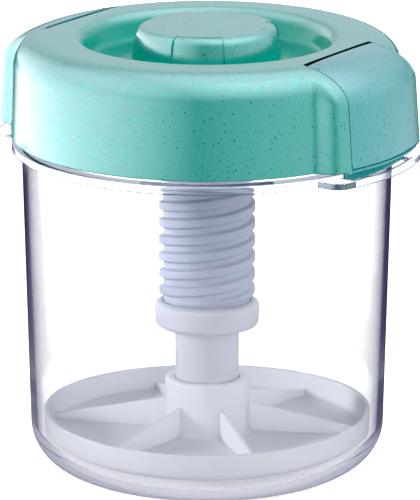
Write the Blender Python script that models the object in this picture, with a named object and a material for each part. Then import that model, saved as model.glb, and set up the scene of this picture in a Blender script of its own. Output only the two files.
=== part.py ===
"""Pickle press: a round clear jar, a lid held by two hinged clips, and a sprung
press plate fed down by a hollow two-start screw that runs in the lid.

The jar stands on z = 0 with its axis on the Z axis. The clips lie on the X axis.
"""

import math

import bmesh
import bpy
from mathutils import Matrix, Vector

MM = 0.001

# Clearances
FIT = 0.3 * MM                  # between pieces that seat on or slide in each other
CUT_PAST = 0.2 * MM             # how far a cut runs past the face that it opens
WELD = 0.002 * MM
THREAD_FIT = 0.4 * MM           # screw thread in its nut
PILOT_PLAY = 1.3 * MM           # stem pilot inside the spring
SIDE_PLAY = 0.4 * MM            # clip beside its pocket wall
PLATE_CLEARANCE = 2.9 * MM      # press plate inside the jar wall
LID_STANDOFF = 2.1 * MM         # lid skirt above the jar flange
TONGUE_STANDOFF = 1.4 * MM      # clip tongue outside the jar flange
LOOP_PLAY = 0.8 * MM            # tongue inside the lug's loop

# Jar
BODY_RADIUS = 75.0 * MM         # outside, under the flange
BODY_DRAFT = 2.4 * MM           # how much narrower the body is above its corner
JAR_WALL = 2.6 * MM
JAR_FLOOR = 3.0 * MM
CORNER_RADIUS = 16.5 * MM
FOOT_RISE = 0.8 * MM            # hollow inside the foot ring
FOOT_WIDTH = 4.0 * MM
FLANGE_BASE = 131.3 * MM
FLANGE_THICK = 3.6 * MM
FLANGE_REACH = 4.0 * MM
NECK_STEP = 1.0 * MM
NECK_RISE = 13.1 * MM
LUG_REACH = 13.0 * MM           # beyond the body radius
LUG_THICK = 2.6 * MM
LUG_HALF_WIDTH = 32.5 * MM
LUG_CORNER = 6.0 * MM

# Lid
LID_WALL = 2.4 * MM
LID_DRAFT = 1.2 * MM
LID_RISE = 29.2 * MM            # crest above the neck rim
SHOULDER_RISE = 12.9 * MM
SHOULDER_REACH = 16.0 * MM
SHOULDER_POWER = 2.3
CREST_FLAT = 6.9 * MM
WELL_DEPTH = 8.7 * MM
WELL_ROLL = 5.0 * MM
WELL_SLOPE = math.radians(55)
WELL_FILLET = 2.0 * MM
PLUG_THICK = 1.8 * MM
PLUG_DEPTH = 5.0 * MM           # how far the plug ring reaches into the neck
PLUG_LEAD = 1.5 * MM            # height of the plug ring's lead-in
PLUG_LEAD_IN = 0.6 * MM
GUSSET_COUNT = 8
GUSSET_THICK = 1.6 * MM

# Clips and the brows beside them
BROW_REACH = 7.0 * MM           # brow and clip face beyond the lid shoulder
BROW_RISE = 14.0 * MM
BROW_POWER = 1.85
BROW_DRAFT = 1.9 * MM
BROW_SHORT = 0.5 * MM           # brow foot above the skirt foot
BROW_INNER = math.radians(20.3)
BROW_OUTER = math.radians(26.3)
CLIP_HALF_WIDTH = 24.9 * MM
CLIP_WALL = 2.2 * MM
CLIP_CHEEK = 2.0 * MM
CLIP_CHEEK_DEPTH = 3.3 * MM     # cheek behind the clip wall
CLIP_DROP = 1.5 * MM            # clip foot below the lid skirt
CLIP_BAND = 4.2 * MM            # recessed band above the clip foot
CLIP_BAND_INSET = 1.5 * MM
CLIP_WEB = 2.6 * MM
SLOT_WALL = 60.5 * MM           # lid edge of the slot, from the jar axis
SLOT_WIDTH = 2.1 * MM
POCKET_DEPTH = 9.0 * MM         # below the crest
POCKET_FLOOR = 2.2 * MM
BARREL_RADIUS = 3.0 * MM
BARREL_BEHIND_SLOT = 5.5 * MM
BARREL_BELOW_CREST = 4.0 * MM
TRUNNION_RADIUS = 1.5 * MM
TRUNNION_LENGTH = 1.6 * MM
TONGUE_THICK = 1.6 * MM
TONGUE_DIP = 1.2 * MM           # into the lug's loop
TONGUE_SWING = 3.6 * MM         # room in the loop for the tongue to swing out
TONGUE_INSET = 2.9 * MM         # tongue ends inside the clip's sides
CLIP_TURN = math.radians(30)    # half of the turn that a clip is cut from
POCKET_TURN = math.radians(48)  # half of the turn that a pocket is cut from

# Two-start screw and the nut boss in the lid
THREAD_LEAD = 14.8 * MM
THREAD_STARTS = 2
THREAD_ROOT = 17.6 * MM
THREAD_DEPTH = 1.8 * MM
RIDGE_FOOT = 5.0 * MM
RIDGE_CREST = 3.0 * MM
THREAD_RUNOUT = 3.0 * MM
SCREW_CHAMFER = 0.8 * MM
SCREW_BORE = 15.4 * MM
SCREW_THROAT = 13.0 * MM        # narrowed bore above the spring washer
THROAT_HEIGHT = 12.8 * MM
NUT_WALL = 3.5 * MM
NUT_LENGTH = 28.8 * MM

# Knob
KNOB_RADIUS = 31.0 * MM
KNOB_HEIGHT = 12.4 * MM
KNOB_TAPER = 2.3 * MM
KNOB_FILLET = 3.8 * MM
KNOB_WALL = 2.3 * MM
SOCKET_WALL = 2.0 * MM
SOCKET_DEPTH = 7.3 * MM
DRIVE_BAR = 2.8 * MM
DRIVE_DEPTH = 6.8 * MM
PANEL_COUNT = 4
PANEL_HALF_ANGLE = math.radians(21)
PANEL_TURN = math.radians(25.3)
PANEL_INSET = 1.9 * MM
PANEL_FOOT = 1.2 * MM
PANEL_TOP_STEP = 0.8 * MM       # panel edge inside the flat top's edge

# Press plate, stem and collar
PLATE_LIFT = 6.2 * MM           # plate above the jar floor at rest
PLATE_HEIGHT = 7.2 * MM
PLATE_FLOOR = 2.5 * MM
RIM_WALL = 2.2 * MM
RIM_CORNER = 4.6 * MM
RIM_TAPER = 0.4 * MM
RIM_FILLET = 1.5 * MM
EDGE_CHAMFER = 1.0 * MM
HUB_WALL = 4.0 * MM
HUB_HEIGHT = 23.0 * MM          # above the plate's underside
HUB_SEAT = 5.0 * MM             # stem foot above the plate's underside
HUB_FILLET = 2.0 * MM
RIB_COUNT = 6
RIB_THICK = 2.0 * MM
RIB_TURN = math.radians(22.7)
RIB_ROOT = 15.8 * MM            # above the plate's underside at the hub
RIB_TIP = 4.7 * MM              # above the plate's underside at the rim
STEM_RADIUS = 12.95 * MM
STEM_WALL = 2.5 * MM
STEM_SHOWN = 26.0 * MM
HEAD_OVERHANG = 1.75 * MM
HEAD_HEIGHT = 3.5 * MM
PILOT_HEIGHT = 5.0 * MM
COLLAR_RADIUS = 21.35 * MM
COLLAR_HEIGHT = 11.5 * MM
COLLAR_LIP = 3.2 * MM
COLLAR_ROUND = 2.6 * MM
COLLAR_TAPER = 0.5 * MM
BEAD_HEIGHT = 0.7 * MM
BEAD_RISE = 2.3 * MM            # bead above the screw's foot

# Pressure spring and its washer
WIRE_RADIUS = 0.9 * MM
COIL_RADIUS = 13.4 * MM
ACTIVE_TURNS = 9.5
END_PITCH = 2.5 * MM
WASHER_THICK = 1.2 * MM
WASHER_BORE = 9.5 * MM

# Facets
JAR_COLUMNS = 48
KNOB_COLUMNS = 36
STEM_COLUMNS = 30
SCREW_COLUMNS = 20
POCKET_COLUMNS = 16
CLIP_COLUMNS = 10
PIN_SIDES = 12
BARREL_SIDES = 16
LONG_ARC_STEPS = 8
ARC_STEPS = 4
SHORT_ARC_STEPS = 3
PLAIN_STEPS = 7
SHOULDER_STEPS = 6
WIRE_SIDES = 4
COIL_STEPS = 10

# Heights and radii that follow
FLANGE_TOP = FLANGE_BASE + FLANGE_THICK
NECK_TOP = FLANGE_TOP + NECK_RISE
NECK_RADIUS = BODY_RADIUS - NECK_STEP
NECK_BORE = NECK_RADIUS - JAR_WALL
BASE_RADIUS = BODY_RADIUS - BODY_DRAFT
FLANGE_RADIUS = BODY_RADIUS + FLANGE_REACH
LUG_RADIUS = BODY_RADIUS + LUG_REACH
LUG_TOP = FLANGE_BASE + LUG_THICK

LID_SEAT = NECK_TOP + FIT
LID_CREST = LID_SEAT + LID_RISE
SKIRT_FOOT = FLANGE_TOP + LID_STANDOFF
SHOULDER_RADIUS = FLANGE_RADIUS - LID_DRAFT + FIT
SHOULDER_CENTRE = SHOULDER_RADIUS - SHOULDER_REACH
SHOULDER_BASE = LID_CREST - SHOULDER_RISE
WELL_FLOOR = LID_CREST - WELL_DEPTH
WELL_UNDER = WELL_FLOOR - LID_WALL
MOUTH_CENTRE = SHOULDER_CENTRE - CREST_FLAT
PLUG_RADIUS = NECK_BORE - FIT

BROW_RADIUS = SHOULDER_RADIUS + BROW_REACH
BROW_BASE = LID_CREST - BROW_RISE
CLIP_FOOT = SKIRT_FOOT - CLIP_DROP
CLIP_EDGE = SLOT_WALL + SLOT_WIDTH
POCKET_BASE = LID_CREST - POCKET_DEPTH
PIVOT_X = SLOT_WALL + BARREL_BEHIND_SLOT
PIVOT_Z = LID_CREST - BARREL_BELOW_CREST
TONGUE_INNER = FLANGE_RADIUS + TONGUE_STANDOFF
TONGUE_OUTER = TONGUE_INNER + TONGUE_THICK
LOOP_INNER = TONGUE_INNER - LOOP_PLAY
LOOP_OUTER = TONGUE_OUTER + TONGUE_SWING
TONGUE_HALF = CLIP_HALF_WIDTH - TONGUE_INSET

KNOB_BASE = WELL_FLOOR + FIT
KNOB_TOP = KNOB_BASE + KNOB_HEIGHT
KNOB_UNDER = KNOB_TOP - KNOB_WALL
SCREW_TOP = KNOB_UNDER - FIT
THREAD_PITCH = THREAD_LEAD / THREAD_STARTS
NUT_TOP = WELL_FLOOR - FIT
NUT_BASE = WELL_FLOOR - NUT_LENGTH
NUT_RADIUS = THREAD_ROOT + THREAD_FIT + THREAD_DEPTH + NUT_WALL

PLATE_BASE = JAR_FLOOR + FOOT_RISE + PLATE_LIFT
PLATE_TOP = PLATE_BASE + PLATE_HEIGHT
PLATE_RADIUS = BASE_RADIUS - JAR_WALL - PLATE_CLEARANCE
HUB_TOP = PLATE_BASE + HUB_HEIGHT
HUB_BORE = STEM_RADIUS + FIT
STEM_FOOT = PLATE_BASE + HUB_SEAT + FIT
COLLAR_BASE = HUB_TOP + STEM_SHOWN
COLLAR_TOP = COLLAR_BASE + COLLAR_HEIGHT
SCREW_FOOT = COLLAR_BASE + COLLAR_LIP + FIT
HEAD_BASE = SCREW_FOOT
HEAD_TOP = HEAD_BASE + HEAD_HEIGHT
HEAD_RADIUS = STEM_RADIUS + HEAD_OVERHANG
WASHER_TOP = SCREW_TOP - THROAT_HEIGHT - FIT
SPRING_TOP = WASHER_TOP - WASHER_THICK - FIT - WIRE_RADIUS
SPRING_FOOT = HEAD_TOP + FIT + WIRE_RADIUS

COLOURS = {
    "jar": ((0.90, 0.93, 0.97), 0.06, 0.0),
    "mint": ((0.21, 0.56, 0.50), 0.35, 0.0),
    "white": ((0.74, 0.76, 0.82), 0.40, 0.0),
    "steel": ((0.62, 0.63, 0.65), 0.28, 1.0),
}


def clear_scene():
    for item in list(bpy.data.objects):
        bpy.data.objects.remove(item, do_unlink=True)


def make_material(name, finish):
    colour, roughness, metallic = COLOURS[finish]
    material = bpy.data.materials.new(name)
    material.use_nodes = True
    shader = material.node_tree.nodes["Principled BSDF"]
    shader.inputs["Base Color"].default_value = (*colour, 1.0)
    shader.inputs["Roughness"].default_value = roughness
    shader.inputs["Metallic"].default_value = metallic
    if finish == "jar":
        shader.inputs["Transmission Weight"].default_value = 1.0
        shader.inputs["IOR"].default_value = 1.57
    return material


def make_object(name, points, faces):
    mesh = bpy.data.meshes.new(name)
    work = bmesh.new()
    corners = [work.verts.new(point) for point in points]
    for face in faces:
        work.faces.new([corners[index] for index in face])
    bmesh.ops.recalc_face_normals(work, faces=work.faces)
    work.to_mesh(mesh)
    work.free()
    item = bpy.data.objects.new(name, mesh)
    bpy.context.collection.objects.link(item)
    return item


def swept(name, outline_at, angles, closed=True):
    """Solid whose closed outline of (radius, height) points may change with the angle."""
    points = []
    faces = []
    for angle in angles:
        for radius, height in outline_at(angle):
            points.append((radius * math.cos(angle), radius * math.sin(angle), height))
    size = len(points) // len(angles)
    spans = len(angles) if closed else len(angles) - 1
    for column in range(spans):
        start = column * size
        after = (column + 1) % len(angles) * size
        for row in range(size):
            up = (row + 1) % size
            faces.append((start + row, after + row, after + up, start + up))
    if not closed:
        faces.append(tuple(range(size)))
        faces.append(tuple(range(len(points) - size, len(points))))
    return make_object(name, points, faces)


def turned(name, outline, columns):
    """Solid of revolution; outline points with radius 0 share one vertex."""
    points = []
    rings = []
    for radius, height in outline:
        first = len(points)
        if radius == 0.0:
            points.append((0.0, 0.0, height))
            rings.append([first] * columns)
            continue
        for column in range(columns):
            angle = 2.0 * math.pi * column / columns
            points.append((radius * math.cos(angle), radius * math.sin(angle), height))
        rings.append(list(range(first, first + columns)))
    return make_object(name, points, loft_faces(rings + [rings[0]], columns))


def loft_faces(rings, columns):
    faces = []
    for low, high in zip(rings, rings[1:]):
        for column in range(columns):
            after = (column + 1) % columns
            face = dict.fromkeys((low[column], low[after], high[after], high[column]))
            if len(face) > 2:
                faces.append(tuple(face))
    return faces


def sector(name, outline, half_angle, columns):
    """Part turn of a closed outline, centred on the X axis."""
    step = 2.0 * half_angle / columns
    angles = [step * column - half_angle for column in range(columns + 1)]
    return swept(name, lambda angle: outline, angles, closed=False)


def prism(name, outline, low, high):
    count = len(outline)
    points = [(x, y, low) for x, y in outline] + [(x, y, high) for x, y in outline]
    faces = [tuple(range(count)), tuple(range(count, 2 * count))]
    for index in range(count):
        after = (index + 1) % count
        faces.append((index, after, count + after, count + index))
    return make_object(name, points, faces)


def block(name, low, high):
    outline = [(low[0], low[1]), (high[0], low[1]), (high[0], high[1]), (low[0], high[1])]
    return prism(name, outline, low[2], high[2])


def rod(name, radius, half_length, centre, sides):
    """Round rod along Y."""
    mesh = bpy.data.meshes.new(name)
    work = bmesh.new()
    bmesh.ops.create_cone(work, cap_ends=True, segments=sides, radius1=radius,
                          radius2=radius, depth=2.0 * half_length)
    work.transform(Matrix.Translation(centre) @ Matrix.Rotation(math.pi / 2.0, 4, "X"))
    work.to_mesh(mesh)
    work.free()
    item = bpy.data.objects.new(name, mesh)
    bpy.context.collection.objects.link(item)
    return item


def combine(target, tool, operation):
    """Apply a Boolean of the tool to the target and remove the tool."""
    modifier = target.modifiers.new(operation.title(), "BOOLEAN")
    modifier.operation = operation
    modifier.solver = "EXACT"
    modifier.object = tool
    graph = bpy.context.evaluated_depsgraph_get()
    result = bpy.data.meshes.new_from_object(target.evaluated_get(graph))
    old = target.data
    target.modifiers.clear()
    target.data = result
    bpy.data.meshes.remove(old)
    bpy.data.objects.remove(tool, do_unlink=True)


def place_turned(item, angle, about=(0.0, 0.0)):
    centre = Vector((about[0], about[1], 0.0))
    turn = Matrix.Translation(centre) @ Matrix.Rotation(angle, 4, "Z")
    item.data.transform(turn @ Matrix.Translation(-centre))


def finish(item, finish_name, origin=(0.0, 0.0, 0.0)):
    """Weld stray doubles, set the origin, the material and the shading."""
    work = bmesh.new()
    work.from_mesh(item.data)
    bmesh.ops.remove_doubles(work, verts=work.verts, dist=WELD)
    bmesh.ops.dissolve_degenerate(work, edges=work.edges, dist=WELD)
    work.to_mesh(item.data)
    work.free()
    item.data.transform(Matrix.Translation(-Vector(origin)))
    item.location = origin
    item.data.materials.clear()
    item.data.materials.append(make_material(item.name, finish_name))
    item.data.shade_smooth()
    item.data.set_sharp_from_angle(angle=math.radians(32))
    return item


def arc(centre, radius, start, end, steps):
    points = []
    for step in range(steps + 1):
        angle = start + (end - start) * step / steps
        points.append((centre[0] + radius * math.cos(angle),
                       centre[1] + radius * math.sin(angle)))
    return points


def shoulder(centre, base, reach, rise, power, steps):
    """Superellipse quarter from the upright wall to the crest."""
    points = []
    for step in range(steps + 1):
        angle = math.pi / 2.0 * step / steps
        out = math.cos(angle) ** (2.0 / power) if step < steps else 0.0
        points.append((centre + reach * out, base + rise * math.sin(angle) ** (2.0 / power)))
    return points


def shoulder_height(radius, centre, base, reach, rise, power):
    share = max(0.0, (radius - centre) / reach)
    return base + rise * (1.0 - share ** power) ** (1.0 / power)


def ring_piece(inner, outer, half_width, steps):
    """Plan outline of a ring cut off square at both sides of the X axis."""
    outer_angle = math.asin(half_width / outer)
    inner_angle = math.asin(half_width / inner)
    return (arc((0.0, 0.0), outer, -outer_angle, outer_angle, steps)
            + arc((0.0, 0.0), inner, inner_angle, -inner_angle, steps))


def jar_outline():
    floor_top = JAR_FLOOR + FOOT_RISE
    corner_x = BASE_RADIUS - CORNER_RADIUS
    inner_corner = CORNER_RADIUS - JAR_WALL
    inner_z = floor_top + inner_corner
    foot = corner_x - FOOT_WIDTH
    outside = [(0.0, FOOT_RISE), (foot - FOOT_RISE, FOOT_RISE), (foot, 0.0)]
    outside += arc((corner_x, CORNER_RADIUS), CORNER_RADIUS, -math.pi / 2.0, 0.0, ARC_STEPS + 1)
    outside += [(BODY_RADIUS, FLANGE_BASE), (FLANGE_RADIUS, FLANGE_BASE),
                (FLANGE_RADIUS, FLANGE_TOP), (NECK_RADIUS, FLANGE_TOP),
                (NECK_RADIUS, NECK_TOP)]
    inside = [(NECK_BORE, NECK_TOP), (NECK_BORE, FLANGE_BASE)]
    inside += arc((corner_x, inner_z), inner_corner, 0.0, -math.pi / 2.0, ARC_STEPS)
    return outside + inside + [(0.0, floor_top)]


def lug_outline():
    """Rounded tab on the flange: parallel sides and a face round the jar axis."""
    corner_y = LUG_HALF_WIDTH - LUG_CORNER
    reach = LUG_RADIUS - LUG_CORNER
    corner_x = math.sqrt(reach ** 2 - corner_y ** 2)
    turn = math.atan2(corner_y, corner_x)
    inner = BODY_RADIUS + NECK_STEP
    inner_angle = math.asin(LUG_HALF_WIDTH / inner)
    return (arc((corner_x, -corner_y), LUG_CORNER, -math.pi / 2.0, -turn, ARC_STEPS)
            + arc((0.0, 0.0), LUG_RADIUS, -turn, turn, LONG_ARC_STEPS)[1:-1]
            + arc((corner_x, corner_y), LUG_CORNER, turn, math.pi / 2.0, ARC_STEPS)
            + arc((0.0, 0.0), inner, inner_angle, -inner_angle, LONG_ARC_STEPS))


def make_jar():
    jar = turned("jar", jar_outline(), JAR_COLUMNS)
    for side in (0.0, math.pi):
        lug = prism("lug", lug_outline(), FLANGE_BASE, LUG_TOP)
        place_turned(lug, side)
        combine(jar, lug, "UNION")
        opening = ring_piece(LOOP_INNER, LOOP_OUTER, TONGUE_HALF + SIDE_PLAY, LONG_ARC_STEPS)
        loop = prism("loop", opening, FLANGE_BASE - LUG_THICK, LUG_TOP + LUG_THICK)
        place_turned(loop, side)
        combine(jar, loop, "DIFFERENCE")
    return finish(jar, "jar")


def brow_weight(angle):
    """1 across a clip's brow, 0 on the plain skirt, an S-curve between."""
    off_axis = math.asin(min(1.0, abs(math.sin(angle))))
    share = (BROW_OUTER - off_axis) / (BROW_OUTER - BROW_INNER)
    share = min(1.0, max(0.0, share))
    return share * share * (3.0 - 2.0 * share)


def lid_angles():
    """Even columns round the lid, with closer ones across the brows' flanks."""
    span = BROW_OUTER - BROW_INNER
    flank = [BROW_INNER + span * share for share in (0.0, 0.25, 0.5, 0.75, 1.0)]
    face = [0.0, 0.5 * BROW_INNER]
    plain = [BROW_OUTER + (math.pi / 2.0 - BROW_OUTER) * step / PLAIN_STEPS
             for step in range(1, PLAIN_STEPS + 1)]
    quarter = face + flank + plain
    half = quarter + [math.pi - angle for angle in reversed(quarter[1:-1])]
    return half + [angle + math.pi for angle in half]


def well_outline():
    """From the crest down the rolled well wall to the nut boss, top side."""
    roll_z = LID_CREST - WELL_ROLL
    roll = arc((MOUTH_CENTRE, roll_z), WELL_ROLL, math.pi / 2.0,
               math.pi / 2.0 + WELL_SLOPE, SHORT_ARC_STEPS)
    foot_r, foot_z = roll[-1]
    drop = foot_z - WELL_FLOOR
    cut_back = WELL_FILLET * math.tan(WELL_SLOPE / 2.0)
    run = drop / math.tan(WELL_SLOPE)
    floor_r = foot_r - run
    above = (floor_r + cut_back * math.cos(WELL_SLOPE),
             WELL_FLOOR + cut_back * math.sin(WELL_SLOPE))
    return roll + [above, (floor_r, WELL_FLOOR + 0.25 * cut_back),
                   (floor_r - cut_back, WELL_FLOOR)]


def underside_height(radius):
    return shoulder_height(radius, SHOULDER_CENTRE, SHOULDER_BASE, SHOULDER_REACH - LID_WALL,
                           SHOULDER_RISE - LID_WALL, SHOULDER_POWER)


def lid_outline(angle):
    weight = brow_weight(angle)
    plain = [(SHOULDER_RADIUS + LID_DRAFT, SKIRT_FOOT)]
    plain += shoulder(SHOULDER_CENTRE, SHOULDER_BASE, SHOULDER_REACH, SHOULDER_RISE,
                      SHOULDER_POWER, SHOULDER_STEPS)
    brow = [(BROW_RADIUS + BROW_DRAFT, SKIRT_FOOT + BROW_SHORT)]
    brow += shoulder(SHOULDER_CENTRE, BROW_BASE, SHOULDER_REACH + BROW_REACH, BROW_RISE,
                     BROW_POWER, SHOULDER_STEPS)
    outside = []
    for (plain_r, plain_z), (brow_r, brow_z) in zip(plain, brow):
        outside.append((plain_r + (brow_r - plain_r) * weight,
                        plain_z + (brow_z - plain_z) * weight))
    well = well_outline()
    nut_edge = NUT_RADIUS - 0.5 * NUT_WALL
    under = [(nut_edge, WELL_FLOOR), (nut_edge, WELL_UNDER)]
    for radius, height in reversed(well[1:-2]):
        under.append((radius + LID_WALL * math.sin(WELL_SLOPE) * 0.5, height - LID_WALL))
    under.append((SHOULDER_CENTRE, LID_CREST - LID_WALL))
    inner_ring = PLUG_RADIUS - PLUG_THICK
    under += [(inner_ring, underside_height(inner_ring)),
              (inner_ring, NECK_TOP - PLUG_DEPTH),
              (PLUG_RADIUS - PLUG_LEAD_IN, NECK_TOP - PLUG_DEPTH),
              (PLUG_RADIUS, NECK_TOP - PLUG_DEPTH + PLUG_LEAD),
              (PLUG_RADIUS, underside_height(PLUG_RADIUS))]
    skirt_inner = SHOULDER_RADIUS - LID_WALL
    mid = 0.5 * (PLUG_RADIUS + skirt_inner)
    under += [(mid, underside_height(mid)), (skirt_inner, SHOULDER_BASE),
              (skirt_inner + LID_DRAFT, SKIRT_FOOT)]
    return outside + well + under


def pocket_cutter(name, half_width):
    """Space that a clip takes out of the lid, outside the skirt and under the crest."""
    turn_in = SHOULDER_RISE - POCKET_DEPTH
    outline = [(0.7 * SLOT_WALL, POCKET_BASE),
               (SHOULDER_RADIUS - turn_in, POCKET_BASE),
               (SHOULDER_RADIUS, SHOULDER_BASE + 0.35 * turn_in),
               (SHOULDER_RADIUS + LID_DRAFT, SKIRT_FOOT),
               (SHOULDER_RADIUS + LID_DRAFT, SKIRT_FOOT - POCKET_DEPTH),
               (LUG_RADIUS + POCKET_DEPTH, SKIRT_FOOT - POCKET_DEPTH),
               (LUG_RADIUS + POCKET_DEPTH, LID_CREST + POCKET_DEPTH),
               (0.7 * SLOT_WALL, LID_CREST + POCKET_DEPTH)]
    cutter = sector(name, outline, POCKET_TURN, POCKET_COLUMNS)
    keep = block("keep", (SLOT_WALL, -half_width, 0.0),
                 (2.0 * LUG_RADIUS, half_width, 2.0 * LID_CREST))
    combine(cutter, keep, "INTERSECT")
    return cutter


def liner(name, half_width):
    """Wall and floor that close the lid behind a clip's pocket."""
    inset = 0.4 * LID_WALL
    outline = [(0.7 * SLOT_WALL, POCKET_BASE - POCKET_FLOOR),
               (SHOULDER_RADIUS - inset, POCKET_BASE - POCKET_FLOOR)]
    outline += shoulder(SHOULDER_CENTRE, SHOULDER_BASE, SHOULDER_REACH - inset,
                        SHOULDER_RISE - inset, SHOULDER_POWER, SHOULDER_STEPS)[2:]
    outline.append((0.7 * SLOT_WALL, LID_CREST - inset))
    body = sector(name, outline, POCKET_TURN, POCKET_COLUMNS)
    keep = block("keep", (SLOT_WALL - POCKET_FLOOR, -half_width, 0.0),
                 (2.0 * LUG_RADIUS, half_width, 2.0 * LID_CREST))
    combine(body, keep, "INTERSECT")
    return body


def thread_rings(low, high, root, depth, foot, crest, columns):
    """Rings of points that follow the helix, clamped to the ends and run out there."""
    slope = 0.5 * (foot - crest)
    marks = [(0.0, 0.0), (slope, 1.0), (slope + crest, 1.0), (foot, 0.0)]
    turns = int((high - low) / THREAD_PITCH) + THREAD_STARTS + 2
    rings = []
    for lap in range(turns):
        for along, share in marks:
            ring = []
            for column in range(columns + 1):
                rise = THREAD_LEAD * column / columns - THREAD_LEAD
                height = low + rise + lap * THREAD_PITCH + along
                ends = min((height - low) / THREAD_RUNOUT, (high - height) / THREAD_RUNOUT)
                ends = min(1.0, max(0.0, ends))
                height = min(high, max(low, height))
                ring.append((root + depth * share * ends, height))
            rings.append(ring)
    return rings, len(marks) * THREAD_STARTS


def threaded(name, low, high, root, depth, foot, crest, rest):
    """Turned solid with a threaded stretch between low and high.

    rest is the outline from (root, high) round the plain side back to (root, low).
    """
    columns = SCREW_COLUMNS
    rings, per_turn = thread_rings(low, high, root, depth, foot, crest, columns)
    points = []
    index_of = {}

    def corner(column, radius, height):
        key = (column % columns, round(radius, 9), round(height, 9))
        if key not in index_of:
            angle = 2.0 * math.pi * column / columns
            index_of[key] = len(points)
            points.append((radius * math.cos(angle), radius * math.sin(angle), height))
        return index_of[key]

    faces = []

    def add_face(corners):
        face = tuple(dict.fromkeys(corners))
        if len(face) > 2:
            faces.append(face)

    for lower, upper in zip(rings, rings[1:]):
        for column in range(columns):
            add_face([corner(column, *lower[column]), corner(column + 1, *lower[column + 1]),
                      corner(column + 1, *upper[column + 1]), corner(column, *upper[column])])
    path = [(root, high)] + rest + [(root, low)]
    for (low_r, low_z), (high_r, high_z) in zip(path, path[1:]):
        for column in range(columns):
            add_face([corner(column, low_r, low_z), corner(column + 1, low_r, low_z),
                      corner(column + 1, high_r, high_z), corner(column, high_r, high_z)])
    return make_object(name, points, faces)


def make_nut_boss():
    """Boss under the well with the screw's two-start thread cut inside it."""
    groove = THREAD_ROOT + THREAD_FIT + THREAD_DEPTH
    gap_foot = THREAD_PITCH - RIDGE_CREST - 2.0 * THREAD_FIT
    gap_crest = THREAD_PITCH - RIDGE_FOOT - 2.0 * THREAD_FIT
    shift = 0.5 * (RIDGE_FOOT + THREAD_PITCH) - 0.5 * gap_foot
    low = NUT_BASE
    screw_phase = (low - thread_start()) % THREAD_PITCH
    rest = [(NUT_RADIUS, NUT_TOP), (NUT_RADIUS, low)]
    boss = threaded("nut_boss", low, NUT_TOP, groove, -THREAD_DEPTH, gap_foot, gap_crest, rest)
    turn = 2.0 * math.pi * (screw_phase - shift) / THREAD_LEAD
    place_turned(boss, turn)
    return boss


def thread_start():
    return COLLAR_TOP + 2.0 * FIT


def make_lid():
    lid = swept("lid", lid_outline, lid_angles())
    pocket_half = CLIP_HALF_WIDTH + SIDE_PLAY
    for side in (0.0, math.pi):
        wall = liner("liner", pocket_half + POCKET_FLOOR)
        place_turned(wall, side)
        combine(lid, wall, "UNION")
    combine(lid, make_nut_boss(), "UNION")
    for index in range(GUSSET_COUNT):
        inner = PLUG_RADIUS - 0.5 * PLUG_THICK
        outer = SHOULDER_RADIUS - 0.5 * LID_WALL
        gusset = block("gusset", (inner, -0.5 * GUSSET_THICK, LID_SEAT),
                       (outer, 0.5 * GUSSET_THICK, SHOULDER_BASE + 0.2 * LID_WALL))
        place_turned(gusset, 2.0 * math.pi * (index + 0.5) / GUSSET_COUNT)
        combine(lid, gusset, "UNION")
    for side in (0.0, math.pi):
        pocket = pocket_cutter("pocket", pocket_half)
        place_turned(pocket, side)
        combine(lid, pocket, "DIFFERENCE")
        socket = rod("socket", TRUNNION_RADIUS + FIT, CLIP_HALF_WIDTH + TRUNNION_LENGTH + FIT,
                     (PIVOT_X, 0.0, PIVOT_Z), PIN_SIDES)
        place_turned(socket, side)
        combine(lid, socket, "DIFFERENCE")
    return finish(lid, "mint")


def clip_face(depth, steps):
    """Clip or brow surface set in by a depth, from its foot up to the crest."""
    foot = (BROW_RADIUS + BROW_DRAFT - depth, CLIP_FOOT + CLIP_BAND)
    reach = SHOULDER_REACH + BROW_REACH - depth
    return [foot] + shoulder(SHOULDER_CENTRE, BROW_BASE, reach, BROW_RISE - depth,
                             BROW_POWER, steps)


def clip_solid(name, outline, half_width):
    body = sector(name, outline, CLIP_TURN, CLIP_COLUMNS)
    keep = block("keep", (CLIP_EDGE, -half_width, 0.0),
                 (2.0 * LUG_RADIUS, half_width, 2.0 * LID_CREST))
    combine(body, keep, "INTERSECT")
    return body


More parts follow.
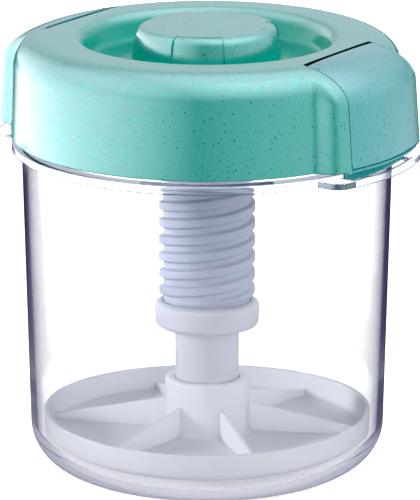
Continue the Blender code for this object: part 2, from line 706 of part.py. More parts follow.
def make_clip(name, side):
    """Clip bent over the lid's shoulder, hollow behind, hinged on its barrel."""
    heel = 0.8 * SLOT_WALL
    band_r = BROW_RADIUS + BROW_DRAFT - CLIP_BAND_INSET
    back = CLIP_WALL + CLIP_CHEEK_DEPTH
    outer = clip_face(0.0, SHOULDER_STEPS)
    inner = clip_face(back, ARC_STEPS)
    lip_z = CLIP_FOOT + CLIP_BAND
    lip_round = 0.5 * CLIP_BAND_INSET
    outline = [(band_r - lip_round, CLIP_FOOT), (band_r, CLIP_FOOT + lip_round),
               (band_r, lip_z - lip_round), (outer[0][0] - lip_round, lip_z - 0.5 * lip_round),
               (outer[0][0], lip_z + lip_round)]
    outline += outer[1:] + [(heel, LID_CREST), (heel, inner[-1][1])]
    outline += list(reversed(inner[1:])) + [(TONGUE_INNER + SIDE_PLAY, CLIP_FOOT)]
    clip = clip_solid(name, outline, CLIP_HALF_WIDTH)

    web_z = CLIP_FOOT + CLIP_WEB
    wall = clip_face(CLIP_WALL, ARC_STEPS)
    deep = 0.5 * (TONGUE_INNER + SHOULDER_RADIUS)
    hollow = [(band_r - CLIP_WALL, web_z), (band_r - CLIP_WALL, lip_z)] + wall[1:]
    hollow += [(heel, wall[-1][1]), (heel, BROW_BASE), (deep, BROW_BASE), (deep, web_z)]
    cut = clip_solid("hollow", hollow, CLIP_HALF_WIDTH - CLIP_CHEEK)
    combine(clip, cut, "DIFFERENCE")

    barrel = rod("barrel", BARREL_RADIUS, CLIP_HALF_WIDTH - 0.5 * CLIP_CHEEK,
                 (PIVOT_X, 0.0, PIVOT_Z), BARREL_SIDES)
    combine(clip, barrel, "UNION")
    trunnion = rod("trunnion", TRUNNION_RADIUS, CLIP_HALF_WIDTH + TRUNNION_LENGTH,
                   (PIVOT_X, 0.0, PIVOT_Z), PIN_SIDES)
    combine(clip, trunnion, "UNION")
    tongue = prism("tongue", ring_piece(TONGUE_INNER, TONGUE_OUTER, TONGUE_HALF, LONG_ARC_STEPS),
                   LUG_TOP - TONGUE_DIP, CLIP_FOOT + 0.5 * CLIP_WEB)
    combine(clip, tongue, "UNION")
    place_turned(clip, side)
    origin = (PIVOT_X * math.cos(side), 0.0, PIVOT_Z)
    return finish(clip, "mint", origin)


def make_knob():
    top_r = KNOB_RADIUS - KNOB_TAPER
    fillet_z = KNOB_TOP - KNOB_FILLET
    outside = [(KNOB_RADIUS - KNOB_WALL, KNOB_BASE), (KNOB_RADIUS, KNOB_BASE)]
    outside += arc((top_r - KNOB_FILLET, fillet_z), KNOB_FILLET, 0.0, math.pi / 2.0, ARC_STEPS)
    socket_in = THREAD_ROOT + FIT
    socket_out = socket_in + SOCKET_WALL
    inside = [(0.0, KNOB_TOP), (0.0, KNOB_UNDER), (socket_in, KNOB_UNDER),
              (socket_in, KNOB_UNDER - SOCKET_DEPTH), (socket_out, KNOB_UNDER - SOCKET_DEPTH),
              (socket_out, KNOB_UNDER), (top_r - KNOB_FILLET, KNOB_UNDER),
              (top_r - KNOB_WALL - 0.3 * KNOB_FILLET, fillet_z)]
    knob = turned("knob", outside + inside, KNOB_COLUMNS)
    bar = block("bar", (-socket_in - 0.5 * SOCKET_WALL, -0.5 * DRIVE_BAR,
                        KNOB_UNDER - DRIVE_DEPTH),
                (socket_in + 0.5 * SOCKET_WALL, 0.5 * DRIVE_BAR,
                 KNOB_UNDER + 0.5 * KNOB_WALL))
    combine(knob, bar, "UNION")
    panel = [(KNOB_RADIUS - PANEL_INSET, KNOB_BASE + PANEL_FOOT),
             (top_r - PANEL_INSET, fillet_z),
             (top_r - KNOB_FILLET - PANEL_TOP_STEP, KNOB_TOP + CUT_PAST),
             (KNOB_RADIUS + KNOB_TAPER, KNOB_TOP + CUT_PAST),
             (KNOB_RADIUS + KNOB_TAPER, KNOB_BASE + PANEL_FOOT)]
    for index in range(PANEL_COUNT):
        cutter = sector("panel", panel, PANEL_HALF_ANGLE, ARC_STEPS)
        place_turned(cutter, PANEL_TURN + 2.0 * math.pi * index / PANEL_COUNT)
        combine(knob, cutter, "DIFFERENCE")
    return finish(knob, "mint", (0.0, 0.0, KNOB_BASE))


def make_screw():
    bead = SCREW_FOOT + BEAD_RISE
    rest = [(THREAD_ROOT, SCREW_TOP - SCREW_CHAMFER),
            (THREAD_ROOT - SCREW_CHAMFER, SCREW_TOP),
            (SCREW_THROAT, SCREW_TOP), (SCREW_THROAT, WASHER_TOP + FIT),
            (SCREW_BORE, WASHER_TOP + FIT), (SCREW_BORE, SCREW_FOOT),
            (THREAD_ROOT, SCREW_FOOT), (THREAD_ROOT, bead),
            (THREAD_ROOT + BEAD_HEIGHT, bead + BEAD_HEIGHT),
            (THREAD_ROOT, bead + 2.0 * BEAD_HEIGHT)]
    thread_end = NUT_TOP - 0.5 * THREAD_RUNOUT
    screw = threaded("press_screw", thread_start(), thread_end, THREAD_ROOT, THREAD_DEPTH,
                     RIDGE_FOOT, RIDGE_CREST, rest)
    half = 0.5 * DRIVE_BAR + FIT
    slot = block("slot", (-KNOB_RADIUS, -half, KNOB_UNDER - DRIVE_DEPTH - FIT),
                 (KNOB_RADIUS, half, KNOB_TOP))
    combine(screw, slot, "DIFFERENCE")
    return finish(screw, "white", (0.0, 0.0, SCREW_FOOT))


def make_collar():
    bore = THREAD_ROOT + FIT
    groove = SCREW_FOOT + BEAD_RISE
    low_r = COLLAR_RADIUS - COLLAR_TAPER
    outline = [(HUB_BORE, COLLAR_BASE)]
    outline += arc((low_r - COLLAR_ROUND, COLLAR_BASE + COLLAR_ROUND), COLLAR_ROUND,
                   -math.pi / 2.0, 0.0, SHORT_ARC_STEPS)
    outline += arc((COLLAR_RADIUS - COLLAR_ROUND, COLLAR_TOP - COLLAR_ROUND), COLLAR_ROUND,
                   0.0, math.pi / 2.0, SHORT_ARC_STEPS)
    outline += [(bore, COLLAR_TOP), (bore, groove + 2.0 * BEAD_HEIGHT + FIT),
                (bore + BEAD_HEIGHT, groove + BEAD_HEIGHT + FIT),
                (bore + BEAD_HEIGHT, groove + BEAD_HEIGHT - FIT),
                (bore, groove - FIT), (bore, COLLAR_BASE + COLLAR_LIP),
                (HUB_BORE, COLLAR_BASE + COLLAR_LIP)]
    return finish(turned("collar", outline, STEM_COLUMNS), "white", (0.0, 0.0, COLLAR_BASE))


def make_washer():
    outer = SCREW_BORE - FIT
    low = WASHER_TOP - WASHER_THICK
    outline = [(WASHER_BORE, low), (outer, low), (outer, WASHER_TOP),
               (WASHER_BORE, WASHER_TOP)]
    return finish(turned("spring_washer", outline, SCREW_COLUMNS), "steel",
                  (0.0, 0.0, WASHER_TOP))


def spring_centres():
    """Centre line: a closed end turn, the active turns, a closed end turn."""
    pitch = (SPRING_TOP - SPRING_FOOT - 2.0 * END_PITCH) / ACTIVE_TURNS
    turns = ACTIVE_TURNS + 2.0
    steps = int(turns * COIL_STEPS)
    centres = []
    for step in range(steps + 1):
        turn = turns * step / steps
        low = min(turn, 1.0) * END_PITCH
        mid = min(max(turn - 1.0, 0.0), ACTIVE_TURNS) * pitch
        high = max(turn - 1.0 - ACTIVE_TURNS, 0.0) * END_PITCH
        angle = 2.0 * math.pi * turn
        centres.append(Vector((COIL_RADIUS * math.cos(angle), COIL_RADIUS * math.sin(angle),
                               SPRING_FOOT + low + mid + high)))
    return centres


def least_wire_gap(centres):
    least = SPRING_TOP
    for index, point in enumerate(centres):
        for other in centres[index + COIL_STEPS // 2:]:
            least = min(least, (point - other).length - 2.0 * WIRE_RADIUS)
    return least


def make_spring():
    centres = spring_centres()
    points = []
    faces = []
    for index, centre in enumerate(centres):
        ahead = centres[min(index + 1, len(centres) - 1)]
        behind = centres[max(index - 1, 0)]
        along = (ahead - behind).normalized()
        out = Vector((centre.x, centre.y, 0.0)).normalized()
        up = along.cross(out).normalized()
        for side in range(WIRE_SIDES):
            angle = 2.0 * math.pi * side / WIRE_SIDES
            points.append(centre + WIRE_RADIUS * (math.cos(angle) * out + math.sin(angle) * up))
    for index in range(len(centres) - 1):
        for side in range(WIRE_SIDES):
            low = index * WIRE_SIDES
            after = (side + 1) % WIRE_SIDES
            faces.append((low + side, low + after, low + WIRE_SIDES + after,
                          low + WIRE_SIDES + side))
    faces.append(tuple(range(WIRE_SIDES)))
    faces.append(tuple(range(len(points) - WIRE_SIDES, len(points))))
    print(f"least gap in the coil {least_wire_gap(centres) / MM:.2f} mm")
    return finish(make_object("pressure_spring", points, faces), "steel",
                  (0.0, 0.0, WASHER_TOP))


def make_stem():
    bore = STEM_RADIUS - STEM_WALL
    pilot = COIL_RADIUS - WIRE_RADIUS - PILOT_PLAY
    outline = [(bore, STEM_FOOT), (STEM_RADIUS, STEM_FOOT), (STEM_RADIUS, HEAD_BASE),
               (HEAD_RADIUS, HEAD_BASE), (HEAD_RADIUS, HEAD_TOP), (pilot, HEAD_TOP),
               (pilot, HEAD_TOP + PILOT_HEIGHT - EDGE_CHAMFER),
               (pilot - EDGE_CHAMFER, HEAD_TOP + PILOT_HEIGHT),
               (0.0, HEAD_TOP + PILOT_HEIGHT),
               (0.0, HEAD_TOP - STEM_WALL), (bore, HEAD_TOP - STEM_WALL)]
    return finish(turned("press_stem", outline, STEM_COLUMNS), "white", (0.0, 0.0, STEM_FOOT))


def make_plate():
    floor_top = PLATE_BASE + PLATE_FLOOR
    seat = STEM_FOOT - FIT
    hub_r = HUB_BORE + HUB_WALL
    spigot = STEM_RADIUS - STEM_WALL - FIT
    spigot_top = seat + HUB_SEAT
    low_r = PLATE_RADIUS - RIM_TAPER
    outline = [(0.0, PLATE_BASE)]
    outline += arc((low_r - RIM_CORNER, PLATE_BASE + RIM_CORNER), RIM_CORNER,
                   -math.pi / 2.0, 0.0, SHORT_ARC_STEPS)
    outline += [(PLATE_RADIUS, PLATE_TOP), (PLATE_RADIUS - RIM_WALL, PLATE_TOP),
                (low_r - RIM_WALL, floor_top + RIM_FILLET),
                (low_r - RIM_WALL - RIM_FILLET, floor_top),
                (hub_r + HUB_FILLET, floor_top), (hub_r, floor_top + HUB_FILLET),
                (hub_r, HUB_TOP - EDGE_CHAMFER), (hub_r - EDGE_CHAMFER, HUB_TOP),
                (HUB_BORE, HUB_TOP), (HUB_BORE, seat), (spigot, seat),
                (spigot, spigot_top), (spigot - STEM_WALL, spigot_top),
                (spigot - STEM_WALL, floor_top), (0.0, floor_top)]
    plate = turned("press_plate", outline, JAR_COLUMNS)
    inner = hub_r - 0.5 * HUB_WALL
    outer = PLATE_RADIUS - 0.6 * RIM_WALL
    for index in range(RIB_COUNT):
        side = [(inner, PLATE_BASE + 0.5 * PLATE_FLOOR), (outer, PLATE_BASE + 0.5 * PLATE_FLOOR),
                (outer, PLATE_BASE + RIB_TIP), (inner, PLATE_BASE + RIB_ROOT)]
        rib = prism("rib", side, -0.5 * RIB_THICK, 0.5 * RIB_THICK)
        rib.data.transform(Matrix.Rotation(math.pi / 2.0, 4, "X"))
        place_turned(rib, RIB_TURN + 2.0 * math.pi * index / RIB_COUNT)
        combine(plate, rib, "UNION")
    return finish(plate, "white", (0.0, 0.0, PLATE_BASE))


def main():
    clear_scene()
    pieces = [make_jar(), make_lid(), make_clip("clip_right", 0.0),
              make_clip("clip_left", math.pi), make_knob(), make_screw(), make_collar(),
              make_washer(), make_spring(), make_stem(), make_plate()]
    for piece in pieces:
        triangles = sum(len(face.vertices) - 2 for face in piece.data.polygons)
        print(f"{piece.name}: {triangles} triangles")


main()
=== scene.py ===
# %% [markdown]
# # A pickle press, finished for its portrait
#
# The press is a clear jar, a mint lid that two clips hold down, and a white plate that a
# hollow screw pushes onto the vegetables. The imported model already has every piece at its
# real size and place, as plain facets. This lesson dresses it: each visible piece is made
# again with round edges and fine curves, and every finish is mixed from shader nodes.

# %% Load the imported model
import math

import bmesh
import bpy
from mathutils import Matrix, Vector


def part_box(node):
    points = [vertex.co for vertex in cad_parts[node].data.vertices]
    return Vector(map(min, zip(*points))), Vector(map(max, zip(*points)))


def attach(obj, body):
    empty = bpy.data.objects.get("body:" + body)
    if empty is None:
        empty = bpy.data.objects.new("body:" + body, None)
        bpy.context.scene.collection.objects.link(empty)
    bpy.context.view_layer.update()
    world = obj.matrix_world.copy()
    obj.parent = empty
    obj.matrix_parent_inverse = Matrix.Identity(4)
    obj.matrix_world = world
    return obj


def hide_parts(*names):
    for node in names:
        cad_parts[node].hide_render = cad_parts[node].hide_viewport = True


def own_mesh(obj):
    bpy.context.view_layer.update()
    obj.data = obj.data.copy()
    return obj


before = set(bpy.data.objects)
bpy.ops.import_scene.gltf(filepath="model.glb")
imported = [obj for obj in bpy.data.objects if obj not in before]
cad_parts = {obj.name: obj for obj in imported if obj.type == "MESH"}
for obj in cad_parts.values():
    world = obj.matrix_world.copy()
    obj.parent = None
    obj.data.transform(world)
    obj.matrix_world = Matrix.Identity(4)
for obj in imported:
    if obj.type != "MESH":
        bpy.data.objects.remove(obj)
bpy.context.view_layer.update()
MM = 0.001

# %% [markdown]
# ## The camera
#
# A catalogue picture is taken from far away with a long lens, so that round rims stay calm
# ellipses. The camera's place and its focal length in pixels were worked out from the
# ellipses of the jar and the lid. Blender wants a lens in millimetres and a shift as a
# share of the picture's long side, so both are converted here.

# %% Camera
PICTURE_WIDTH = 420
PICTURE_HEIGHT = 500
SENSOR_MM = 36.0
FOCAL_PIXELS = 3643.2
AXIS_PIXEL = (207.1, 246.4)     # where the lens looks, in the picture
CAMERA_PLACE = Vector((0.7788, -1.1993, 0.4934))
CAMERA_PITCH = math.radians(15.79)

level = Vector((-CAMERA_PLACE.x, -CAMERA_PLACE.y, 0.0)).normalized()
look = level * math.cos(CAMERA_PITCH) - Vector((0.0, 0.0, math.sin(CAMERA_PITCH)))
lens = bpy.data.cameras.new("camera")
lens.sensor_width = SENSOR_MM
lens.lens = FOCAL_PIXELS * SENSOR_MM / PICTURE_HEIGHT
lens.shift_x = (0.5 * PICTURE_WIDTH - AXIS_PIXEL[0]) / PICTURE_HEIGHT
lens.shift_y = (AXIS_PIXEL[1] - 0.5 * PICTURE_HEIGHT) / PICTURE_HEIGHT
camera = bpy.data.objects.new("camera", lens)
camera.location = CAMERA_PLACE
camera.rotation_euler = look.to_track_quat("-Z", "Y").to_euler()
bpy.context.collection.objects.link(camera)
bpy.context.scene.camera = camera
print(f"lens {lens.lens:.1f} mm, {CAMERA_PLACE.length:.2f} m from the jar")

# %% [markdown]
# ## Meshes from outlines
#
# Nearly every piece of this press is turned: a flat outline carried round the upright axis.
# Blender's Spin tool or a Screw modifier could do it. A short function of our own is chosen
# because the lid's outline changes with the angle, where its brows stand out beside the
# clips, and one function then serves them all. Moulded plastic has no sharp corner, so each
# corner of an outline carries its own fillet radius.


# %% Helpers: rounded outlines
def rounded(corners, steps=4):
    """Closed outline from (radius, height, fillet) corners."""
    outline = []
    for index, (radius, height, fillet) in enumerate(corners):
        here = Vector((radius, height))
        if fillet == 0.0:
            outline.append(tuple(here))
            continue
        before = (Vector(corners[index - 1][:2]) - here).normalized()
        after = (Vector(corners[(index + 1) % len(corners)][:2]) - here).normalized()
        half = 0.5 * before.angle(after)
        centre = here + (before + after).normalized() * (fillet / math.sin(half))
        first = here + before * (fillet / math.tan(half)) - centre
        last = here + after * (fillet / math.tan(half)) - centre
        for step in range(steps + 1):
            outline.append(tuple(centre + first.slerp(last, step / steps) * fillet))
    return outline


def arc(centre, radius, start, end, steps):
    points = []
    for step in range(steps + 1):
        angle = start + (end - start) * step / steps
        points.append((centre[0] + radius * math.cos(angle),
                       centre[1] + radius * math.sin(angle)))
    return points


# %% Helpers: solids from outlines
SHARP = math.radians(33)
COLUMNS = 192


def new_piece(name, points, faces):
    mesh = bpy.data.meshes.new(name)
    work = bmesh.new()
    corners = [work.verts.new(point) for point in points]
    for face in faces:
        work.faces.new([corners[index] for index in face])
    bmesh.ops.recalc_face_normals(work, faces=work.faces)
    work.to_mesh(mesh)
    work.free()
    piece = bpy.data.objects.new(name, mesh)
    bpy.context.collection.objects.link(piece)
    return piece


def swept(name, outline_at, angles, closed=True):
    """Solid whose closed outline of (radius, height) points may change with the angle."""
    points = []
    faces = []
    for angle in angles:
        for radius, height in outline_at(angle):
            points.append((radius * math.cos(angle), radius * math.sin(angle), height))
    size = len(points) // len(angles)
    spans = len(angles) if closed else len(angles) - 1
    for column in range(spans):
        start = column * size
        after = (column + 1) % len(angles) * size
        for row in range(size):
            up = (row + 1) % size
            faces.append((start + row, after + row, after + up, start + up))
    if not closed:
        faces.append(tuple(range(size)))
        faces.append(tuple(range(len(points) - size, len(points))))
    return new_piece(name, points, faces)


def turned(name, outline, columns=COLUMNS):
    """Solid of revolution; outline points with radius 0 share one vertex."""
    points = []
    rings = []
    for radius, height in outline:
        first = len(points)
        if radius == 0.0:
            points.append((0.0, 0.0, height))
            rings.append([first] * columns)
            continue
        for column in range(columns):
            angle = 2.0 * math.pi * column / columns
            points.append((radius * math.cos(angle), radius * math.sin(angle), height))
        rings.append(list(range(first, first + columns)))
    faces = []
    for low, high in zip(rings, rings[1:] + rings[:1]):
        for column in range(columns):
            after = (column + 1) % columns
            face = dict.fromkeys((low[column], low[after], high[after], high[column]))
            if len(face) > 2:
                faces.append(tuple(face))
    return new_piece(name, points, faces)


def sector(name, outline, half_angle, columns):
    """Part turn of an outline, centred on the X axis."""
    step = 2.0 * half_angle / columns
    angles = [step * column - half_angle for column in range(columns + 1)]
    return swept(name, lambda angle: outline, angles, closed=False)


def prism(name, outline, low, high):
    count = len(outline)
    points = [(x, y, low) for x, y in outline] + [(x, y, high) for x, y in outline]
    faces = [tuple(range(count)), tuple(range(count, 2 * count))]
    for index in range(count):
        after = (index + 1) % count
        faces.append((index, after, count + after, count + index))
    return new_piece(name, points, faces)


def block(name, low, high):
    outline = [(low[0], low[1]), (high[0], low[1]), (high[0], high[1]), (low[0], high[1])]
    return prism(name, outline, low[2], high[2])


def rod(name, radius, half_length, centre, sides=32):
    """Round rod along Y."""
    outline = [(radius, -half_length), (radius, half_length)]
    item = turned(name, [(0.0, -half_length)] + outline + [(0.0, half_length)], sides)
    item.data.transform(Matrix.Translation(centre) @ Matrix.Rotation(math.pi / 2.0, 4, "X"))
    return item


def turn(item, angle):
    item.data.transform(Matrix.Rotation(angle, 4, "Z"))


print(f"{COLUMNS} columns to a full turn")


# %% [markdown]
# Some shapes are easier to cut than to draw: the pockets for the clips, the flats on the
# knob, the slots in the lugs. A Boolean modifier is applied each time through the
# evaluated mesh, which leaves a plain mesh behind and nothing live on the piece.

# %% Helpers: cutting and finishing
def evaluated(item):
    """The item's mesh with its modifiers applied, in place of the old one."""
    graph = bpy.context.evaluated_depsgraph_get()
    result = bpy.data.meshes.new_from_object(item.evaluated_get(graph))
    item.modifiers.clear()
    item.data = result
    return item


def combine(target, tool, operation, side=0.0):
    """Boolean with a tool that is first turned to its side of the press, then used up."""
    turn(tool, side)
    modifier = target.modifiers.new(operation.title(), "BOOLEAN")
    modifier.operation = operation
    modifier.solver = "EXACT"
    modifier.object = tool
    evaluated(target)
    bpy.data.objects.remove(tool, do_unlink=True)


def cropped_sector(name, outline, half_angle, columns, inner, half_width):
    """Part turn of an outline, cut square at its inner end and at both sides."""
    body = sector(name, outline, half_angle, columns)
    keep = block("keep", (inner, -half_width, 0.0),
                 (2.0 * LUG_RADIUS, half_width, 2.0 * CREST))
    combine(body, keep, "INTERSECT")
    return body


def smooth(item, angle=SHARP, weld=0.002 * MM):
    work = bmesh.new()
    work.from_mesh(item.data)
    bmesh.ops.remove_doubles(work, verts=work.verts, dist=weld)
    bmesh.ops.dissolve_degenerate(work, edges=work.edges, dist=weld)
    work.to_mesh(item.data)
    work.free()
    item.data.shade_smooth()
    item.data.set_sharp_from_angle(angle=angle)
    return item


def dress(item, body, material, slot, *nodes):
    """Give a finished piece its body and its finish, and hide the CAD nodes that it stands for."""
    item.data.materials.clear()
    item.data.materials.append(material)
    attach(item, body)
    if nodes:
        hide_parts(*nodes)
    print(f"{item.name}: {sum(len(face.vertices) - 2 for face in item.data.polygons)} triangles")
    return item


# %% [markdown]
# ## Sizes
#
# The lid's crest, the skirt's foot and the lugs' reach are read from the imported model. The
# rest are the press's own sizes, in millimetres, named as a mould maker would name them.

# %% Sizes
FIT = 0.3 * MM
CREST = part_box("knob")[1].z - 4.0 * MM
FLANGE_BASE = 131.3 * MM
FLANGE_TOP = 134.9 * MM
FLANGE_RADIUS = 79.0 * MM
NECK_TOP = 148.0 * MM
NECK_RADIUS = 74.0 * MM
NECK_BORE = 71.4 * MM
BODY_RADIUS = 75.0 * MM
BASE_RADIUS = 72.6 * MM
JAR_WALL = 2.6 * MM
FLOOR_TOP = 3.8 * MM
JAR_CORNER = 16.5 * MM
FOOT_RISE = 0.8 * MM
FOOT_WIDTH = 4.0 * MM
LUG_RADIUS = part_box("jar")[1].x
LUG_TOP = 133.9 * MM
LUG_HALF = 32.5 * MM
LUG_CORNER = 6.0 * MM

SKIRT_FOOT = 137.0 * MM
LID_WALL = 2.4 * MM
LID_DRAFT = 1.2 * MM
SHOULDER_RADIUS = FLANGE_RADIUS - LID_DRAFT + FIT
SHOULDER_REACH = 16.0 * MM
SHOULDER_RISE = 12.9 * MM
SHOULDER_POWER = 2.3
SHOULDER_CENTRE = SHOULDER_RADIUS - SHOULDER_REACH
SHOULDER_BASE = CREST - SHOULDER_RISE
MOUTH_CENTRE = SHOULDER_CENTRE - 6.9 * MM
WELL_FLOOR = CREST - 8.7 * MM
WELL_ROLL = 6.4 * MM
WELL_SLOPE = math.radians(74)
WELL_FILLET = 3.0 * MM
WELL_GUTTER = WELL_FLOOR - 1.6 * MM
GUTTER_INNER = 28.0 * MM
WELL_FLOOR_RADIUS = 26.4 * MM
PLUG_RADIUS = NECK_BORE - FIT
PLUG_THICK = 1.8 * MM
PLUG_FOOT = NECK_TOP - 5.0 * MM

BROW_REACH = 7.0 * MM
BROW_RISE = 14.0 * MM
BROW_POWER = 1.85
BROW_DRAFT = 1.9 * MM
BROW_INNER = math.radians(20.3)
BROW_OUTER = math.radians(26.3)
BROW_RADIUS = SHOULDER_RADIUS + BROW_REACH
BROW_BASE = CREST - BROW_RISE
CLIP_HALF = 24.9 * MM
CLIP_WALL = 2.2 * MM
CLIP_FOOT = SKIRT_FOOT - 0.3 * MM
CLIP_BAND = 1.6 * MM
CLIP_BAND_INSET = 0.3 * MM
SLOT_WALL = 60.5 * MM
CLIP_EDGE = SLOT_WALL + 2.1 * MM
POCKET_BASE = CREST - 9.0 * MM
POCKET_FLOOR = 2.2 * MM
SIDE_PLAY = 0.4 * MM
PIVOT = Vector((SLOT_WALL + 5.5 * MM, 0.0, CREST - 4.0 * MM))
BARREL_RADIUS = 3.0 * MM
PIN_RADIUS = 1.5 * MM
PIN_LENGTH = 1.6 * MM
TONGUE_INNER = FLANGE_RADIUS + 1.4 * MM
TONGUE_OUTER = TONGUE_INNER + 1.6 * MM
TONGUE_FOOT = LUG_TOP - 1.2 * MM
TONGUE_HALF = CLIP_HALF - 2.9 * MM
print(f"crest at {CREST / MM:.1f} mm, lugs reach {LUG_RADIUS / MM:.1f} mm")

# %% [markdown]
# ## Finishes
#
# The mint pieces are polypropylene with fine dark flecks in it, as plastic has that is
# filled with bran or recycled grain. The flecks could be painted, but they are all through
# the plastic, so a 3-D cell pattern is truer: each Voronoi cell holds one fleck at most, of
# its own size. Two sizes of cell are laid over each other. The group puts out a mask only,
# and each material decides what the mask brings: here a dark teal that mirrors the studio
# in its own colour, so that a fleck stays dark in the shine too.


# %% Node helpers
def connect(tree, value, socket):
    """Link a socket to a socket, or set the socket to a plain value."""
    if isinstance(value, bpy.types.NodeSocket):
        tree.links.new(value, socket)
    elif socket.type == "RGBA":
        socket.default_value = (*value, 1.0)
    else:
        socket.default_value = value


def feed(tree, item, inputs):
    """Connect values to a node's inputs, which are found by name or by place."""
    for name, value in inputs.items():
        connect(tree, value, item.inputs[name])


def add_node(tree, kind, inputs=None, **settings):
    item = tree.nodes.new(kind)
    for name, value in settings.items():
        setattr(item, name, value)
    feed(tree, item, inputs or {})
    return item


def calc(tree, operation, *values, clamp=False):
    return add_node(tree, "ShaderNodeMath", dict(enumerate(values)), operation=operation,
                    use_clamp=clamp).outputs[0]


def vector(tree, operation, *values):
    item = add_node(tree, "ShaderNodeVectorMath", dict(enumerate(values)), operation=operation)
    return item.outputs["Value" if operation in ("DOT_PRODUCT", "LENGTH") else "Vector"]


def spread(tree, value, low, high, to_low=0.0, to_high=1.0, kind="LINEAR"):
    limits = {"Value": value, "From Min": low, "From Max": high, "To Min": to_low,
              "To Max": to_high}
    return add_node(tree, "ShaderNodeMapRange", limits, interpolation_type=kind).outputs["Result"]


def split(tree, place):
    return add_node(tree, "ShaderNodeSeparateXYZ", {0: place}).outputs


def spot(tree, *axes):
    return add_node(tree, "ShaderNodeCombineXYZ", dict(enumerate(axes))).outputs[0]


def object_place(tree):
    return add_node(tree, "ShaderNodeTexCoord").outputs["Object"]


def blend(tree, factor, first, second):
    """Mix of two colours."""
    return add_node(tree, "ShaderNodeMix", {"Factor": factor, 6: first, 7: second},
                    data_type="RGBA").outputs[2]


def pick(tree, factor, first, second):
    """Mix of two shaders."""
    return add_node(tree, "ShaderNodeMixShader", {0: factor, 1: first, 2: second}).outputs[0]


def new_group(name, kind, inputs, outputs):
    """Node group; a number gives a socket's kind and default, a word its kind alone."""
    tree = bpy.data.node_groups.new(name, kind)
    for side, rows in (("INPUT", inputs), ("OUTPUT", outputs)):
        for label, value in rows.items():
            word = value if isinstance(value, str) else type(value).__name__.title()
            item = tree.interface.new_socket(name=label, in_out=side,
                                             socket_type="NodeSocket" + word)
            if word != value:
                item.default_value = value
    return tree, tree.nodes.new("NodeGroupInput").outputs, tree.nodes.new("NodeGroupOutput")


# %% Shader group: flecks
FINE_CELL = 0.43
FINE_RADIUS = 0.5
FINE_STRENGTH = 0.6
FINE_SEED = 3.7
SMALLEST_FLECK = 0.45
FLECK_CORE = 0.55


def fleck_layer(tree, place, cell, radius, share, seed):
    """One fleck at most in each cell; share is the part of the cells that have one."""
    moved = vector(tree, "ADD", place, spot(tree, seed, seed, seed))
    cells = add_node(tree, "ShaderNodeTexVoronoi",
                     {"Vector": moved, "Scale": calc(tree, "DIVIDE", 1.0, cell)},
                     feature="F1", distance="EUCLIDEAN").outputs
    parts = add_node(tree, "ShaderNodeSeparateColor", {0: cells["Color"]}).outputs
    chosen = calc(tree, "LESS_THAN", parts[0], share)
    reach = calc(tree, "DIVIDE", radius, cell)
    size = spread(tree, parts[1], 0.0, 1.0, SMALLEST_FLECK, 1.0)
    reach = calc(tree, "MULTIPLY", reach, size)
    core = calc(tree, "MULTIPLY", reach, FLECK_CORE)
    dot = spread(tree, cells["Distance"], reach, core, kind="SMOOTHSTEP")
    return calc(tree, "MULTIPLY", dot, chosen)


def make_fleck_group():
    tree, given, made = new_group(
        "Flecks", "ShaderNodeTree",
        {"Cell": 3.0 * MM, "Fleck Radius": 0.4 * MM, "Share": 0.3, "Seed": 0.0},
        {"Mask": "Float"})
    place = object_place(tree)
    cell, radius, share, seed = [given[name] for name in ("Cell", "Fleck Radius", "Share", "Seed")]
    large = fleck_layer(tree, place, cell, radius, share, seed)
    fine = fleck_layer(tree, place, calc(tree, "MULTIPLY", cell, FINE_CELL),
                       calc(tree, "MULTIPLY", radius, FINE_RADIUS), share, FINE_SEED)
    fine = calc(tree, "MULTIPLY", fine, FINE_STRENGTH)
    feed(tree, made, {"Mask": calc(tree, "MAXIMUM", large, fine)})
    return tree


FLECKS = make_fleck_group()
print("flecks:", len(FLECKS.nodes), "nodes")


# %% [markdown]
# A moulded skin is never perfectly even. Slow waves in the gloss and a very fine grain
# show where the light grazes it. Every plastic here uses the same group with its own
# values: more grain for the mint pieces, nearly none for the clear jar.

# %% Shader group: moulded skin
def make_skin_group():
    tree, given, made = new_group(
        "Moulded Skin", "ShaderNodeTree",
        {"Roughness": 0.35, "Variation": 0.05, "Wave": 18.0 * MM, "Grain": 0.5 * MM},
        {"Roughness": "Float", "Height": "Float"})
    place = object_place(tree)
    wave, grain = [add_node(tree, "ShaderNodeTexNoise",
                            {"Vector": place, "Scale": calc(tree, "DIVIDE", 1.0, given[name]),
                             "Detail": 2.0}).outputs["Fac"] for name in ("Wave", "Grain")]
    change = calc(tree, "MULTIPLY", calc(tree, "SUBTRACT", wave, 0.5), given["Variation"])
    rough = calc(tree, "ADD", given["Roughness"], change, clamp=True)
    feed(tree, made, {"Roughness": rough, "Height": grain})
    return tree


SKIN = make_skin_group()
print("moulded skin:", len(SKIN.nodes), "nodes")


# %% Materials: mint plastics
# Painted shade: a deeper mint low in the well and low on the knob.
WELL_MINT = (0.0, 0.47, 0.37)
# Painted shade: a near black on the upright wall behind each clip's slot.
SLOT_DARK = (0.0, 0.012, 0.01)
MINT = (0.003, 0.385, 0.315)
CLIP_MINT = (0.004, 0.355, 0.35)
FLECK_TEAL = (0.0, 0.075, 0.055)
FLECK_CELL = 1.7 * MM
FLECK_RADIUS = 0.5 * MM
FLECK_SHARE = 0.75
# The share of the shine that the painted well shade takes away.
WELL_DULLNESS = 0.85
KNOB_SHADE_DROP = 1.6 * MM
KNOB_EDGE = (32.0 * MM, 35.0 * MM)
WELL_EDGE = (50.0 * MM, 52.5 * MM)
SHADE_HEIGHTS = (CREST - 4.0 * MM, CREST - 0.6 * MM)


def new_material(name, inputs):
    """Material with these values on its Principled shader."""
    material = bpy.data.materials.new(name)
    material.use_nodes = True
    tree = material.node_tree
    shader = tree.nodes["Principled BSDF"]
    feed(tree, shader, inputs)
    return material, tree, shader


